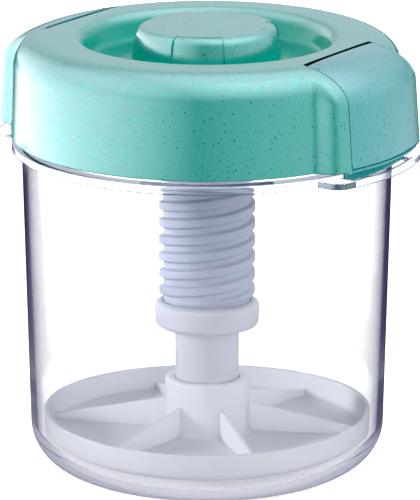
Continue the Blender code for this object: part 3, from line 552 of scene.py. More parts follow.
def add_skin(tree, shader, roughness, variation, grain, strength):
    skin = add_node(tree, "ShaderNodeGroup",
                    {"Roughness": roughness, "Variation": variation, "Grain": grain},
                    node_tree=SKIN).outputs
    bump = add_node(tree, "ShaderNodeBump", {"Strength": strength, "Distance": 0.02 * MM,
                                             "Height": skin["Height"]}).outputs
    feed(tree, shader, {"Roughness": skin["Roughness"], "Normal": bump["Normal"]})


def slot_shade(tree):
    """Mask of painted shade: 1 on the upright wall behind a clip, where a narrow slot lets no
    light in.
    """
    across = calc(tree, "ABSOLUTE", split(tree, object_place(tree))["X"])
    off = calc(tree, "ABSOLUTE", calc(tree, "SUBTRACT", across, SLOT_WALL))
    normal = split(tree, add_node(tree, "ShaderNodeNewGeometry").outputs["True Normal"])
    upright = calc(tree, "GREATER_THAN", calc(tree, "ABSOLUTE", normal["X"]), 0.98)
    return calc(tree, "MULTIPLY", calc(tree, "LESS_THAN", off, 0.2 * MM), upright)


def well_shade(tree):
    """Mask of painted shade: 1 low in the well and low on the knob, where the walls only see each
    other.
    """
    place = split(tree, object_place(tree))
    squares = [calc(tree, "MULTIPLY", place[axis], place[axis]) for axis in "XY"]
    radius = calc(tree, "SQRT", calc(tree, "ADD", *squares))
    height = calc(tree, "ADD", place["Z"], spread(tree, radius, *KNOB_EDGE, KNOB_SHADE_DROP, 0.0))
    depth = spread(tree, height, *SHADE_HEIGHTS, 1.0, 0.0)
    return calc(tree, "MULTIPLY", depth, spread(tree, radius, *WELL_EDGE, 1.0, 0.0))


def mint_plastic(name, colour, seed):
    material, tree, shader = new_material(name, {"IOR": 1.5})
    flecks = add_node(tree, "ShaderNodeGroup",
                      {"Cell": FLECK_CELL, "Fleck Radius": FLECK_RADIUS, "Share": FLECK_SHARE,
                       "Seed": seed}, node_tree=FLECKS).outputs["Mask"]
    # Painted shade: the well and slot masks darken the colour and take the shine away.
    well = well_shade(tree)
    slot = slot_shade(tree)
    tint = blend(tree, flecks, colour, FLECK_TEAL)
    tint = blend(tree, well, tint, WELL_MINT)
    tint = blend(tree, slot, tint, SLOT_DARK)
    dull = calc(tree, "MAXIMUM", calc(tree, "MULTIPLY", well, WELL_DULLNESS), slot)
    open_skin = spread(tree, calc(tree, "MAXIMUM", well, slot), 0.0, 0.3, 1.0, 0.0)
    feed(tree, shader, {"Base Color": tint,
                        "Metallic": calc(tree, "MULTIPLY", flecks, open_skin),
                        "Specular IOR Level": spread(tree, dull, 0.0, 1.0, 0.5, 0.0)})
    add_skin(tree, shader, roughness=0.15, variation=0.06, grain=0.45 * MM, strength=0.06)
    return material


LID_PLASTIC = mint_plastic("lid_plastic", MINT, 0.0)
CLIP_PLASTIC = mint_plastic("clip_plastic", CLIP_MINT, 1.3)
KNOB_PLASTIC = mint_plastic("knob_plastic", MINT, 2.1)


# %% [markdown]
# The plastic of the press is milky: some light sinks in and comes out again, which
# subsurface scattering gives. The plate is the whitest. The screw carries painted shade: it is
# darker and bluer than the collar, and darker still towards its top, where the lid keeps the light
# off.

# %% Materials: milky white plastic and steel
# Painted shade: between these heights the screw darkens to its top colour, where the lid keeps the
# light off.
SCREW_FADE = (72.0 * MM, 126.0 * MM)


def milky_plastic(name, colour, top_colour=None):
    """With a top colour, the plastic fades to it between two set heights: painted shade."""
    material, tree, shader = new_material(name, {
        "Base Color": colour, "Subsurface Weight": 0.5, "Subsurface Radius": (1.0, 1.0, 1.1),
        "Subsurface Scale": 4.0 * MM, "IOR": 1.49})
    if top_colour:
        height = spread(tree, split(tree, object_place(tree))["Z"], *SCREW_FADE)
        feed(tree, shader, {"Base Color": blend(tree, height, colour, top_colour)})
    add_skin(tree, shader, roughness=0.42, variation=0.06, grain=0.6 * MM, strength=0.1)
    return material


def wire_steel(name):
    material, tree, shader = new_material(
        name, {"Base Color": (0.62, 0.63, 0.65), "Metallic": 1.0})
    add_skin(tree, shader, roughness=0.28, variation=0.08, grain=0.3 * MM, strength=0.1)
    return material


PRESS_PLASTIC = milky_plastic("press_plastic", (0.8, 0.8, 0.875))
PLATE_PLASTIC = milky_plastic("plate_plastic", (0.96, 0.965, 1.0))
# The screw's darker, bluer colours are painted shade from the lid.
SCREW_PLASTIC = milky_plastic("screw_plastic", (0.62, 0.645, 0.75), (0.36, 0.42, 0.54))
STEEL = wire_steel("spring_steel")


# %% [markdown]
# The jar is clear moulded plastic. A Principled shader with full transmission bends the
# light as the real wall does. Lamps don't shine through such a shader when the light is
# traced backwards, so Light Path nodes let shadow rays and diffuse rays pass as through a
# thin film: without that, a clear jar would throw the shadow of a black one. A ray that
# has already been mirrored twice passes as through the film too, which keeps the wall
# free of fine noise.

# %% Material: clear plastic
def clear_plastic(name, tint, shade):
    material, tree, shader = new_material(
        name, {"Base Color": tint, "Transmission Weight": 1.0, "IOR": 1.57})
    add_skin(tree, shader, roughness=0.015, variation=0.02, grain=2.0 * MM, strength=0.02)
    film = add_node(tree, "ShaderNodeBsdfTransparent", {"Color": shade})
    path = add_node(tree, "ShaderNodeLightPath").outputs
    soft = calc(tree, "MAXIMUM", path["Is Shadow Ray"], path["Is Diffuse Ray"])
    soft = calc(tree, "MAXIMUM", soft, calc(tree, "GREATER_THAN", path["Glossy Depth"], 1.5))
    wall = pick(tree, soft, shader.outputs[0], film.outputs[0])
    feed(tree, tree.nodes["Material Output"], {"Surface": wall})
    return material


CLEAR_PLASTIC = clear_plastic("clear_plastic", (0.99, 0.99, 0.998), (0.95, 0.95, 0.97))
print("materials:", ", ".join(material.name for material in bpy.data.materials))

# %% [markdown]
# ## The jar
#
# The jar is one turned outline, from the hollow under its foot round the big outer corner,
# up the wall, round the flange, over the neck and down inside. The two lugs at the clips
# are flat tabs with a slot through each, joined on with a Boolean.

# %% Jar
def jar_outline():
    corner_x = BASE_RADIUS - JAR_CORNER
    inner_corner = JAR_CORNER - JAR_WALL
    foot = corner_x - FOOT_WIDTH
    outside = rounded([(0.0, FOOT_RISE, 0.0), (foot - FOOT_RISE, FOOT_RISE, 0.5 * MM),
                       (foot, 0.0, 0.5 * MM), (corner_x, 0.0, 0.0)])[:-1]
    outside += arc((corner_x, JAR_CORNER), JAR_CORNER, -math.pi / 2.0, 0.0, 18)
    collar = rounded([(BASE_RADIUS, JAR_CORNER, 0.0), (BODY_RADIUS, FLANGE_BASE, 0.5 * MM),
                      (FLANGE_RADIUS, FLANGE_BASE, 0.7 * MM),
                      (FLANGE_RADIUS, FLANGE_TOP, 0.7 * MM),
                      (NECK_RADIUS, FLANGE_TOP, 0.6 * MM), (NECK_RADIUS, NECK_TOP, 0.9 * MM),
                      (NECK_BORE, NECK_TOP, 0.9 * MM), (NECK_BORE, FLANGE_BASE, 0.0)])
    inside = arc((corner_x, FLOOR_TOP + inner_corner), inner_corner, 0.0, -math.pi / 2.0, 16)
    return outside + collar[1:] + inside + [(0.0, FLOOR_TOP)]


def lug_outline():
    """Rounded tab: parallel sides and a face round the jar's axis."""
    corner_y = LUG_HALF - LUG_CORNER
    reach = LUG_RADIUS - LUG_CORNER
    corner_x = math.sqrt(reach ** 2 - corner_y ** 2)
    swing = math.atan2(corner_y, corner_x)
    inner = BODY_RADIUS + 1.0 * MM
    inner_angle = math.asin(LUG_HALF / inner)
    return (arc((corner_x, -corner_y), LUG_CORNER, -math.pi / 2.0, -swing, 10)
            + arc((0.0, 0.0), LUG_RADIUS, -swing, swing, 28)[1:-1]
            + arc((corner_x, corner_y), LUG_CORNER, swing, math.pi / 2.0, 10)
            + arc((0.0, 0.0), inner, inner_angle, -inner_angle, 24))


def ring_piece(inner, outer, half_width, steps=24):
    """Plan outline of a ring cut off square at both sides of the X axis."""
    outer_angle = math.asin(half_width / outer)
    inner_angle = math.asin(half_width / inner)
    return (arc((0.0, 0.0), outer, -outer_angle, outer_angle, steps)
            + arc((0.0, 0.0), inner, inner_angle, -inner_angle, steps))


def make_jar():
    jar = turned("jar_clear", jar_outline())
    loop = ring_piece(TONGUE_INNER - 0.8 * MM, TONGUE_OUTER + 3.6 * MM, TONGUE_HALF + SIDE_PLAY)
    for side in (0.0, math.pi):
        combine(jar, prism("lug", lug_outline(), FLANGE_BASE, LUG_TOP), "UNION", side)
        slot = prism("slot", loop, FLANGE_BASE - LUG_CORNER, LUG_TOP + LUG_CORNER)
        combine(jar, slot, "DIFFERENCE", side)
    return smooth(jar)


dress(make_jar(), "container", CLEAR_PLASTIC, "clear_plastic", "jar")

# %% [markdown]
# ## The lid
#
# Seen from the side, the lid's shoulder is neither a circle nor a chamfer: it leaves the
# skirt slowly and turns quickly at the crest. A superellipse of power 2.3 has that look.
# At the clips the lid swells into brows that come out as far as the clips do. The plain
# outline and the brow outline have as many points as each other, so the lid can pass from
# one to the other along an S-curve of the angle. The well round the knob ends in a shallow
# gutter, a little lower than the floor that the screw comes up through.


# %% Lid: outlines
SHOULDER_STEPS = 22
PLAIN_STEP = math.radians(2.0)
FLANK_STEPS = 16


def shoulder(centre, base, reach, rise, power, steps=SHOULDER_STEPS):
    points = []
    for step in range(steps + 1):
        angle = math.pi / 2.0 * step / steps
        out = math.cos(angle) ** (2.0 / power) if step < steps else 0.0
        points.append((centre + reach * out, base + rise * math.sin(angle) ** (2.0 / power)))
    return points


def shoulder_height(radius):
    """Underside of the shoulder, one wall below its top."""
    share = max(0.0, (radius - SHOULDER_CENTRE) / (SHOULDER_REACH - LID_WALL))
    rise = SHOULDER_RISE - LID_WALL
    return SHOULDER_BASE + rise * (1.0 - share ** SHOULDER_POWER) ** (1.0 / SHOULDER_POWER)


def brow_weight(angle):
    """1 across a clip's brow, 0 on the plain skirt, an S-curve between."""
    off_axis = math.asin(min(1.0, abs(math.sin(angle))))
    share = (BROW_OUTER - off_axis) / (BROW_OUTER - BROW_INNER)
    share = min(1.0, max(0.0, share))
    return share * share * (3.0 - 2.0 * share)


def lid_angles():
    quarter = []
    face_steps = 10
    for step in range(face_steps):
        quarter.append(BROW_INNER * step / face_steps)
    for step in range(FLANK_STEPS):
        quarter.append(BROW_INNER + (BROW_OUTER - BROW_INNER) * step / FLANK_STEPS)
    plain_steps = round((math.pi / 2.0 - BROW_OUTER) / PLAIN_STEP)
    for step in range(plain_steps + 1):
        quarter.append(BROW_OUTER + (math.pi / 2.0 - BROW_OUTER) * step / plain_steps)
    half = quarter + [math.pi - angle for angle in reversed(quarter[1:-1])]
    return half + [angle + math.pi for angle in half]


def skirt(foot_radius, foot_height, rest):
    """Skirt with a small fillet at its foot, then the shoulder's points."""
    fillet = 0.6 * MM
    bend = arc((foot_radius - fillet, foot_height + fillet), fillet, -math.pi / 2.0, 0.0, 3)
    return bend + rest


def well_outline():
    """From the crest down the rolled well wall to the gutter and up to the floor."""
    roll = arc((MOUTH_CENTRE, CREST - WELL_ROLL), WELL_ROLL, math.pi / 2.0,
               math.pi / 2.0 + WELL_SLOPE, 9)
    foot_r, foot_z = roll[-1]
    floor_r = foot_r - (foot_z - WELL_GUTTER) / math.tan(WELL_SLOPE)
    cut = WELL_FILLET * math.tan(WELL_SLOPE / 2.0)
    centre = (floor_r - cut, WELL_GUTTER + WELL_FILLET)
    fillet = arc(centre, WELL_FILLET, -math.pi / 2.0 + WELL_SLOPE, -math.pi / 2.0, 6)
    return roll, fillet + [(GUTTER_INNER, WELL_GUTTER), (WELL_FLOOR_RADIUS, WELL_FLOOR)]


NUT_BORE = 19.8 * MM
NUT_RADIUS = 23.3 * MM


def lid_outline(angle):
    weight = brow_weight(angle)
    plain = skirt(SHOULDER_RADIUS + LID_DRAFT, SKIRT_FOOT,
                  shoulder(SHOULDER_CENTRE, SHOULDER_BASE, SHOULDER_REACH, SHOULDER_RISE,
                           SHOULDER_POWER))
    brow = skirt(BROW_RADIUS + BROW_DRAFT, SKIRT_FOOT + 0.5 * MM,
                 shoulder(SHOULDER_CENTRE, BROW_BASE, SHOULDER_REACH + BROW_REACH, BROW_RISE,
                          BROW_POWER))
    outside = []
    for (plain_r, plain_z), (brow_r, brow_z) in zip(plain, brow):
        outside.append((plain_r + (brow_r - plain_r) * weight,
                        plain_z + (brow_z - plain_z) * weight))
    roll, fillet = well_outline()
    nut_edge = NUT_RADIUS - 1.0 * MM
    inner_roll = arc((MOUTH_CENTRE, CREST - WELL_ROLL), WELL_ROLL - LID_WALL, math.pi / 2.0,
                     math.pi / 2.0 + WELL_SLOPE, 9)
    wall_r, wall_z = inner_roll[-1]
    foot_z = WELL_GUTTER - LID_WALL
    foot_r = wall_r - (wall_z - foot_z) / math.tan(WELL_SLOPE)
    under = [(nut_edge, WELL_FLOOR), (nut_edge, foot_z), (foot_r, foot_z)]
    under += list(reversed(inner_roll)) + [(SHOULDER_CENTRE, CREST - LID_WALL)]
    plug_inner = PLUG_RADIUS - PLUG_THICK
    under += [(plug_inner, shoulder_height(plug_inner)), (plug_inner, PLUG_FOOT),
              (PLUG_RADIUS - 0.6 * MM, PLUG_FOOT), (PLUG_RADIUS, PLUG_FOOT + 1.5 * MM),
              (PLUG_RADIUS, shoulder_height(PLUG_RADIUS))]
    skirt_inner = SHOULDER_RADIUS - LID_WALL
    for share in (0.35, 0.65, 0.85):
        radius = PLUG_RADIUS + share * (skirt_inner - PLUG_RADIUS)
        under.append((radius, shoulder_height(radius)))
    under += [(skirt_inner, SHOULDER_BASE),
              (skirt_inner + LID_DRAFT, SKIRT_FOOT + 0.4 * MM),
              (skirt_inner + LID_DRAFT + 0.4 * MM, SKIRT_FOOT)]
    return outside + roll + fillet + under


print(f"the lid is swept through {len(lid_angles())} outlines")

# %% [markdown]
# A clip lies in a pocket behind its brow. A liner closes the lid behind the pocket, then
# the pocket itself and the sockets for the hinge pins are cut.


# %% Lid: pockets
SPAN = math.radians(48)


def pocket_cutter(half_width):
    turn_in = SHOULDER_RISE - (CREST - POCKET_BASE)
    far = LUG_RADIUS + 9.0 * MM
    outline = [(0.7 * SLOT_WALL, POCKET_BASE), (SHOULDER_RADIUS - turn_in, POCKET_BASE),
               (SHOULDER_RADIUS, SHOULDER_BASE + 0.35 * turn_in),
               (SHOULDER_RADIUS + LID_DRAFT, SKIRT_FOOT),
               (SHOULDER_RADIUS + LID_DRAFT, SKIRT_FOOT - 9.0 * MM),
               (far, SKIRT_FOOT - 9.0 * MM), (far, CREST + 9.0 * MM),
               (0.7 * SLOT_WALL, CREST + 9.0 * MM)]
    return cropped_sector("pocket", outline, SPAN, 96, SLOT_WALL, half_width)


def liner(half_width):
    inset = 0.4 * LID_WALL
    outline = [(0.7 * SLOT_WALL, POCKET_BASE - POCKET_FLOOR),
               (SHOULDER_RADIUS - inset, POCKET_BASE - POCKET_FLOOR)]
    outline += shoulder(SHOULDER_CENTRE, SHOULDER_BASE, SHOULDER_REACH - inset,
                        SHOULDER_RISE - inset, SHOULDER_POWER)[6:]
    outline.append((0.7 * SLOT_WALL, CREST - inset))
    return cropped_sector("liner", outline, SPAN, 96, SLOT_WALL - POCKET_FLOOR, half_width)


def make_lid():
    lid = swept("lid_mint", lid_outline, lid_angles())
    pocket_half = CLIP_HALF + SIDE_PLAY
    for side in (0.0, math.pi):
        combine(lid, liner(pocket_half + POCKET_FLOOR), "UNION", side)
        combine(lid, pocket_cutter(pocket_half), "DIFFERENCE", side)
        socket = rod("socket", PIN_RADIUS + FIT, CLIP_HALF + PIN_LENGTH + FIT, PIVOT)
        combine(lid, socket, "DIFFERENCE", side)
    return smooth(lid)


dress(make_lid(), "lid", LID_PLASTIC, "lid_plastic", "lid")

# %% [markdown]
# ## The clips
#
# A clip is a bent plate: flat on top, round over the shoulder, straight down to a recessed
# band where a thumb pulls it. It is hollow behind, with a cheek down each side, a hinge
# barrel at its heel and a tongue at its foot that springs into the lug.


# %% Clips
CLIP_TURN = math.radians(30)
CHEEK = 2.0 * MM
CHEEK_DEPTH = 3.3 * MM
WEB = 2.6 * MM
HEEL = 0.8 * SLOT_WALL
BAND_RADIUS = BROW_RADIUS + BROW_DRAFT - CLIP_BAND_INSET
BAND_TOP = CLIP_FOOT + CLIP_BAND


def clip_face(depth):
    reach = SHOULDER_REACH + BROW_REACH - depth
    return [(BROW_RADIUS + BROW_DRAFT - depth, BAND_TOP)] + shoulder(
        SHOULDER_CENTRE, BROW_BASE, reach, BROW_RISE - depth, BROW_POWER)


def clip_outline():
    outer = clip_face(0.0)
    inner = clip_face(CLIP_WALL + CHEEK_DEPTH)
    foot_inner = TONGUE_INNER + SIDE_PLAY
    low = rounded([(foot_inner, CLIP_FOOT, 0.0), (BAND_RADIUS, CLIP_FOOT, 0.7 * MM),
                   (BAND_RADIUS, BAND_TOP, 0.6 * MM), (outer[0][0], BAND_TOP, 0.7 * MM),
                   (outer[1][0], outer[1][1], 0.0)])[1:-1]
    return (low + outer[1:] + [(HEEL, CREST), (HEEL, inner[-1][1])]
            + list(reversed(inner[1:])) + [(foot_inner, CLIP_FOOT)])


def make_clip(name, side):
    clip = cropped_sector(name, clip_outline(), CLIP_TURN, 60, CLIP_EDGE, CLIP_HALF)
    web_z = CLIP_FOOT + WEB
    wall = clip_face(CLIP_WALL)
    deep = 0.5 * (TONGUE_INNER + SHOULDER_RADIUS)
    band_inner = BAND_RADIUS - CLIP_WALL
    hollow = [(band_inner, web_z), (band_inner, BAND_TOP)] + wall[1:]
    hollow += [(HEEL, wall[-1][1]), (HEEL, BROW_BASE), (deep, BROW_BASE), (deep, web_z)]
    cut = cropped_sector("hollow", hollow, CLIP_TURN, 60, CLIP_EDGE, CLIP_HALF - CHEEK)
    combine(clip, cut, "DIFFERENCE")
    combine(clip, rod("barrel", BARREL_RADIUS, CLIP_HALF - 0.5 * CHEEK, PIVOT, 40), "UNION")
    combine(clip, rod("pin", PIN_RADIUS, CLIP_HALF + PIN_LENGTH, PIVOT), "UNION")
    tongue = prism("tongue", ring_piece(TONGUE_INNER, TONGUE_OUTER, TONGUE_HALF),
                   TONGUE_FOOT, CLIP_FOOT + 0.5 * WEB)
    combine(clip, tongue, "UNION")
    turn(clip, side)
    return smooth(clip)


for clip_name, clip_side in (("clip_right", 0.0), ("clip_left", math.pi)):
    dress(make_clip(clip_name + "_mint", clip_side), clip_name, CLIP_PLASTIC, "clip_plastic",
          clip_name)

# %% [markdown]
# ## The knob
#
# The knob is a turned cap with four flats cut into it for the fingers. Each flat is a
# slanted slice, so its edges run straight down the knob's side.

# %% Knob
KNOB_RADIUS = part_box("knob")[1].x
KNOB_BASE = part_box("knob")[0].z
KNOB_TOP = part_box("knob")[1].z
KNOB_TAPER = 2.3 * MM
KNOB_FILLET = 3.8 * MM
KNOB_WALL = 2.3 * MM
PANEL_COUNT = 4
PANEL_HALF = math.radians(21)
PANEL_TURN = math.radians(25.3)
PANEL_INSET = 1.0 * MM
PANEL_STEP = 0.2 * MM
SCREW_ROOT = 17.6 * MM


def make_knob():
    top_r = KNOB_RADIUS - KNOB_TAPER
    under = KNOB_TOP - KNOB_WALL
    socket = SCREW_ROOT + FIT
    hollow = PANEL_INSET + KNOB_WALL
    corners = [(KNOB_RADIUS - hollow, KNOB_BASE, 0.4 * MM), (KNOB_RADIUS, KNOB_BASE, 0.5 * MM),
               (top_r, KNOB_TOP, KNOB_FILLET), (0.0, KNOB_TOP, 0.0), (0.0, under, 0.0),
               (socket, under, 0.0), (socket, under - 7.3 * MM, 0.3 * MM),
               (socket + 2.0 * MM, under - 7.3 * MM, 0.3 * MM), (socket + 2.0 * MM, under, 0.0),
               (top_r - hollow, under, 1.5 * MM)]
    knob = turned("knob_mint", rounded(corners, 8), 144)
    step = KNOB_TOP - PANEL_STEP
    foot = KNOB_BASE - 0.5 * MM
    panel = rounded([(KNOB_RADIUS - PANEL_INSET, foot, 0.0),
                     (top_r - PANEL_INSET, step, KNOB_FILLET - 0.6 * MM),
                     (top_r - KNOB_FILLET - 0.9 * MM, step, 0.0),
                     (top_r - KNOB_FILLET - 0.9 * MM, KNOB_TOP + 1.0 * MM, 0.0),
                     (KNOB_RADIUS + KNOB_TAPER, KNOB_TOP + 1.0 * MM, 0.0),
                     (KNOB_RADIUS + KNOB_TAPER, foot, 0.0)], 8)
    for index in range(PANEL_COUNT):
        cutter = sector("panel", panel, PANEL_HALF, 20)
        combine(knob, cutter, "DIFFERENCE", PANEL_TURN + 2.0 * math.pi * index / PANEL_COUNT)
    return smooth(knob)


dress(make_knob(), "screw", KNOB_PLASTIC, "knob_plastic", "knob")

# %% [markdown]
# ## The screw and its nut
#
# A coarse two-start thread lifts the plate fast. Its shape is a rule: how far the skin
# stands out depends only on the height and the angle. Geometry Nodes are made for that. The
# tree takes a closed outline, carries it round the axis as a grid, and then pushes the
# outer skin out wherever the rule says ridge. The same tree, with its side turned in, cuts
# the nut inside the lid.


# %% Geometry tree: threaded turning
def make_thread_tree():
    tree, value, made = new_group(
        "Threaded Turning", "GeometryNodeTree",
        {"Outline": "Geometry", "Rows": 100, "Columns": 96, "Split Radius": 0.0165,
         "Side": 1.0, "Depth": 0.0018, "Pitch": 0.0074, "Starts": 2.0, "Ridge Foot": 0.005,
         "Ridge Crest": 0.003, "Low": 0.0, "High": 0.1, "Phase": 0.0, "Run Out": 0.003,
         "Material": "Material"}, {"Geometry": "Geometry"})
    rows = calc(tree, "ADD", value["Rows"], 1.0)
    grid = add_node(tree, "GeometryNodeMeshGrid", {
        "Vertices X": calc(tree, "ADD", value["Columns"], 1.0), "Vertices Y": rows})
    index = add_node(tree, "GeometryNodeInputIndex").outputs[0]
    row = calc(tree, "MODULO", index, rows)
    column = calc(tree, "FLOOR", calc(tree, "DIVIDE", index, rows))
    share = calc(tree, "DIVIDE", column, value["Columns"])
    angle = calc(tree, "MULTIPLY", share, 2.0 * math.pi)
    place = add_node(tree, "GeometryNodeInputPosition").outputs[0]
    sample = add_node(tree, "GeometryNodeSampleIndex", {
        "Geometry": value["Outline"], "Index": calc(tree, "MODULO", row, value["Rows"])},
        data_type="FLOAT_VECTOR")
    feed(tree, sample, {"Value": place})
    parts = split(tree, sample.outputs[0])
    radius, height = parts["X"], parts["Z"]

    climb = calc(tree, "DIVIDE", calc(tree, "SUBTRACT", height, value["Phase"]), value["Pitch"])
    lap = calc(tree, "MULTIPLY", share, value["Starts"])
    along = calc(tree, "FRACT", calc(tree, "ADD", calc(tree, "SUBTRACT", climb, lap), 0.5))
    off = calc(tree, "ABSOLUTE", calc(tree, "SUBTRACT", along, 0.5))
    off = calc(tree, "MULTIPLY", off, value["Pitch"])
    foot, crest = [calc(tree, "MULTIPLY", value[name], 0.5)
                   for name in ("Ridge Foot", "Ridge Crest")]
    ridge = spread(tree, off, foot, crest, kind="SMOOTHSTEP")
    rise = calc(tree, "DIVIDE", calc(tree, "SUBTRACT", height, value["Low"]), value["Run Out"])
    fall = calc(tree, "DIVIDE", calc(tree, "SUBTRACT", value["High"], height), value["Run Out"])
    ends = calc(tree, "MINIMUM", rise, fall, clamp=True)
    beyond = calc(tree, "SUBTRACT", radius, value["Split Radius"])
    skin = calc(tree, "GREATER_THAN", calc(tree, "MULTIPLY", beyond, value["Side"]), 0.0)
    push = calc(tree, "MULTIPLY", calc(tree, "MULTIPLY", ridge, ends), skin)
    push = calc(tree, "MULTIPLY", push, calc(tree, "MULTIPLY", value["Depth"], value["Side"]))
    radius = calc(tree, "ADD", radius, push)

    across, deep = [calc(tree, "MULTIPLY", radius, calc(tree, kind, angle))
                    for kind in ("COSINE", "SINE")]
    moved = add_node(tree, "GeometryNodeSetPosition", {
        "Geometry": grid.outputs["Mesh"], "Position": spot(tree, across, deep, height)})
    merged = add_node(tree, "GeometryNodeMergeByDistance", {
        "Geometry": moved.outputs[0], "Distance": 0.001 * MM})
    finish_tree(tree, merged.outputs[0], value["Material"], made)
    return tree


def finish_tree(tree, geometry, material, made):
    """Real geometry with its material, as every tree here ends."""
    real = add_node(tree, "GeometryNodeRealizeInstances", {0: geometry})
    coloured = add_node(tree, "GeometryNodeSetMaterial", {
        "Geometry": real.outputs[0], "Material": material})
    feed(tree, made, {"Geometry": coloured.outputs[0]})


THREADED = make_thread_tree()
print("threaded turning:", len(THREADED.nodes), "nodes")


# %% Running a geometry tree on a piece
def run_tree(piece, tree, values):
    """Put a tree on a piece with its named inputs set, and keep the plain result."""
    modifier = piece.modifiers.new(tree.name, "NODES")
    modifier.node_group = tree
    for item in tree.interface.items_tree:
        if item.in_out == "INPUT" and item.name in values:
            modifier[item.identifier] = values[item.name]
    evaluated(piece)
    work = bmesh.new()
    work.from_mesh(piece.data)
    bmesh.ops.recalc_face_normals(work, faces=work.faces)
    work.to_mesh(piece.data)
    work.free()
    return piece


def outline_piece(name, outline):
    """The outline as loose edges in the XZ plane, for the tree to carry round."""
    mesh = bpy.data.meshes.new(name)
    edges = [(index, (index + 1) % len(outline)) for index in range(len(outline))]
    mesh.from_pydata([(radius, 0.0, height) for radius, height in outline], edges, [])
    piece = bpy.data.objects.new(name, mesh)
    bpy.context.collection.objects.link(piece)
    return piece


def upright(radius, low, high, step):
    """Points straight up or down a wall, close enough for a thread to bend it."""
    count = max(1, round(abs(high - low) / step))
    return [(radius, low + (high - low) * index / count) for index in range(count + 1)]


# %% Screw and nut
LEAD = 14.8 * MM
STARTS = 2
PITCH = LEAD / STARTS
THREAD_DEPTH = 1.8 * MM
RIDGE_FOOT = 5.0 * MM
RIDGE_CREST = 3.0 * MM
THREAD_PLAY = 0.8 * MM
COLLAR_TOP = 70.5 * MM
SCREW_FOOT = 62.5 * MM
SCREW_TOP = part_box("press_screw")[1].z
SCREW_BORE = 15.4 * MM
THREAD_LOW = COLLAR_TOP + 2.0 * FIT
THREAD_HIGH = WELL_FLOOR - 1.8 * MM
NUT_FOOT = WELL_FLOOR - 28.8 * MM
ROW_STEP = 0.45 * MM

def threaded(name, outline, inner, outer, values):
    """The outline turned with the press's thread on the wall that its side points to."""
    piece = outline_piece(name, outline)
    run_tree(piece, THREADED, {
        "Rows": len(outline), "Columns": 120, "Split Radius": 0.5 * (inner + outer),
        "Depth": THREAD_DEPTH, "Pitch": PITCH, "Starts": float(STARTS), "Run Out": 3.0 * MM,
        **values})
    return smooth(piece)


def make_screw():
    outline = upright(SCREW_ROOT, SCREW_FOOT, SCREW_TOP - 0.8 * MM, ROW_STEP)
    outline += [(SCREW_ROOT - 0.8 * MM, SCREW_TOP), (SCREW_BORE, SCREW_TOP),
                (SCREW_BORE, SCREW_FOOT)]
    return threaded("press_screw_white", outline, SCREW_BORE, SCREW_ROOT, {
        "Side": 1.0, "Ridge Foot": RIDGE_FOOT, "Ridge Crest": RIDGE_CREST, "Low": THREAD_LOW,
        "High": THREAD_HIGH, "Phase": THREAD_LOW + 0.5 * RIDGE_FOOT, "Material": SCREW_PLASTIC})


def make_nut():
    top = WELL_FLOOR - FIT
    outline = upright(NUT_BORE, top, NUT_FOOT, ROW_STEP)
    outline += rounded([(NUT_BORE, NUT_FOOT, 0.0), (NUT_RADIUS, NUT_FOOT, 0.8 * MM),
                        (NUT_RADIUS, top, 0.0)])[1:]
    return threaded("nut_mint", outline, NUT_BORE, NUT_RADIUS, {
        "Side": -1.0, "Ridge Foot": PITCH - RIDGE_CREST - THREAD_PLAY,
        "Ridge Crest": PITCH - RIDGE_FOOT - THREAD_PLAY, "Low": NUT_FOOT, "High": WELL_FLOOR,
        "Phase": THREAD_LOW + 0.5 * (RIDGE_FOOT + PITCH), "Material": LID_PLASTIC})


dress(make_screw(), "screw", SCREW_PLASTIC, "press_plastic", "press_screw")
dress(make_nut(), "lid", LID_PLASTIC, "lid_plastic")

# %% [markdown]
# ## Collar, stem and plate
#
# The collar closes the screw's foot and lets the stem slide. The plate is a shallow tray
# with a hub that the stem is pushed into and six ribs that carry the load out to its rim.

# %% Collar and stem
COLLAR_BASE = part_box("collar")[0].z
COLLAR_RADIUS = 21.35 * MM
COLLAR_ROUND = 2.6 * MM
STEM_RADIUS = 12.95 * MM
STEM_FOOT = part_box("press_stem")[0].z
STEM_WALL = 2.5 * MM
HEAD_RADIUS = 14.7 * MM


def make_collar():
    bore = SCREW_ROOT + FIT
    throat = STEM_RADIUS + FIT
    lip = COLLAR_BASE + 3.2 * MM
    corners = [(throat, COLLAR_BASE, 0.4 * MM),
               (COLLAR_RADIUS - 0.5 * MM, COLLAR_BASE, COLLAR_ROUND),
               (COLLAR_RADIUS, COLLAR_TOP, COLLAR_ROUND), (bore, COLLAR_TOP, 0.4 * MM),
               (bore, lip, 0.0), (throat, lip, 0.0)]
    return smooth(turned("collar_white", rounded(corners, 8), 144))


def make_stem():
    bore = STEM_RADIUS - STEM_WALL
    head = SCREW_FOOT + 3.5 * MM
    pilot = 11.2 * MM
    corners = [(bore, STEM_FOOT, 0.0), (STEM_RADIUS, STEM_FOOT, 0.4 * MM),
               (STEM_RADIUS, SCREW_FOOT, 0.0), (HEAD_RADIUS, SCREW_FOOT, 0.3 * MM),
               (HEAD_RADIUS, head, 0.3 * MM), (pilot, head, 0.0),
               (pilot, head + 5.0 * MM, 1.0 * MM), (0.0, head + 5.0 * MM, 0.0),
               (0.0, head - STEM_WALL, 0.0), (bore, head - STEM_WALL, 0.0)]
    return smooth(turned("stem_white", rounded(corners), 144))


dress(make_collar(), "screw", PRESS_PLASTIC, "press_plastic", "collar")
dress(make_stem(), "press", PRESS_PLASTIC, "press_plastic", "press_stem")

# %% [markdown]
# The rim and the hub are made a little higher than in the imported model, as far as leaves
# the collar room when the plate is pushed up.

# %% Plate
PLATE_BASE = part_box("press_plate")[0].z
PLATE_TOP = PLATE_BASE + 12.2 * MM
PLATE_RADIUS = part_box("press_plate")[1].x
PLATE_FLOOR = PLATE_BASE + 2.5 * MM
RIM_WALL = 2.2 * MM
RIM_CORNER = 4.6 * MM
HUB_RAISE = 3.4 * MM
HUB_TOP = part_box("press_plate")[1].z + HUB_RAISE
HUB_RADIUS = STEM_RADIUS + FIT + 4.0 * MM


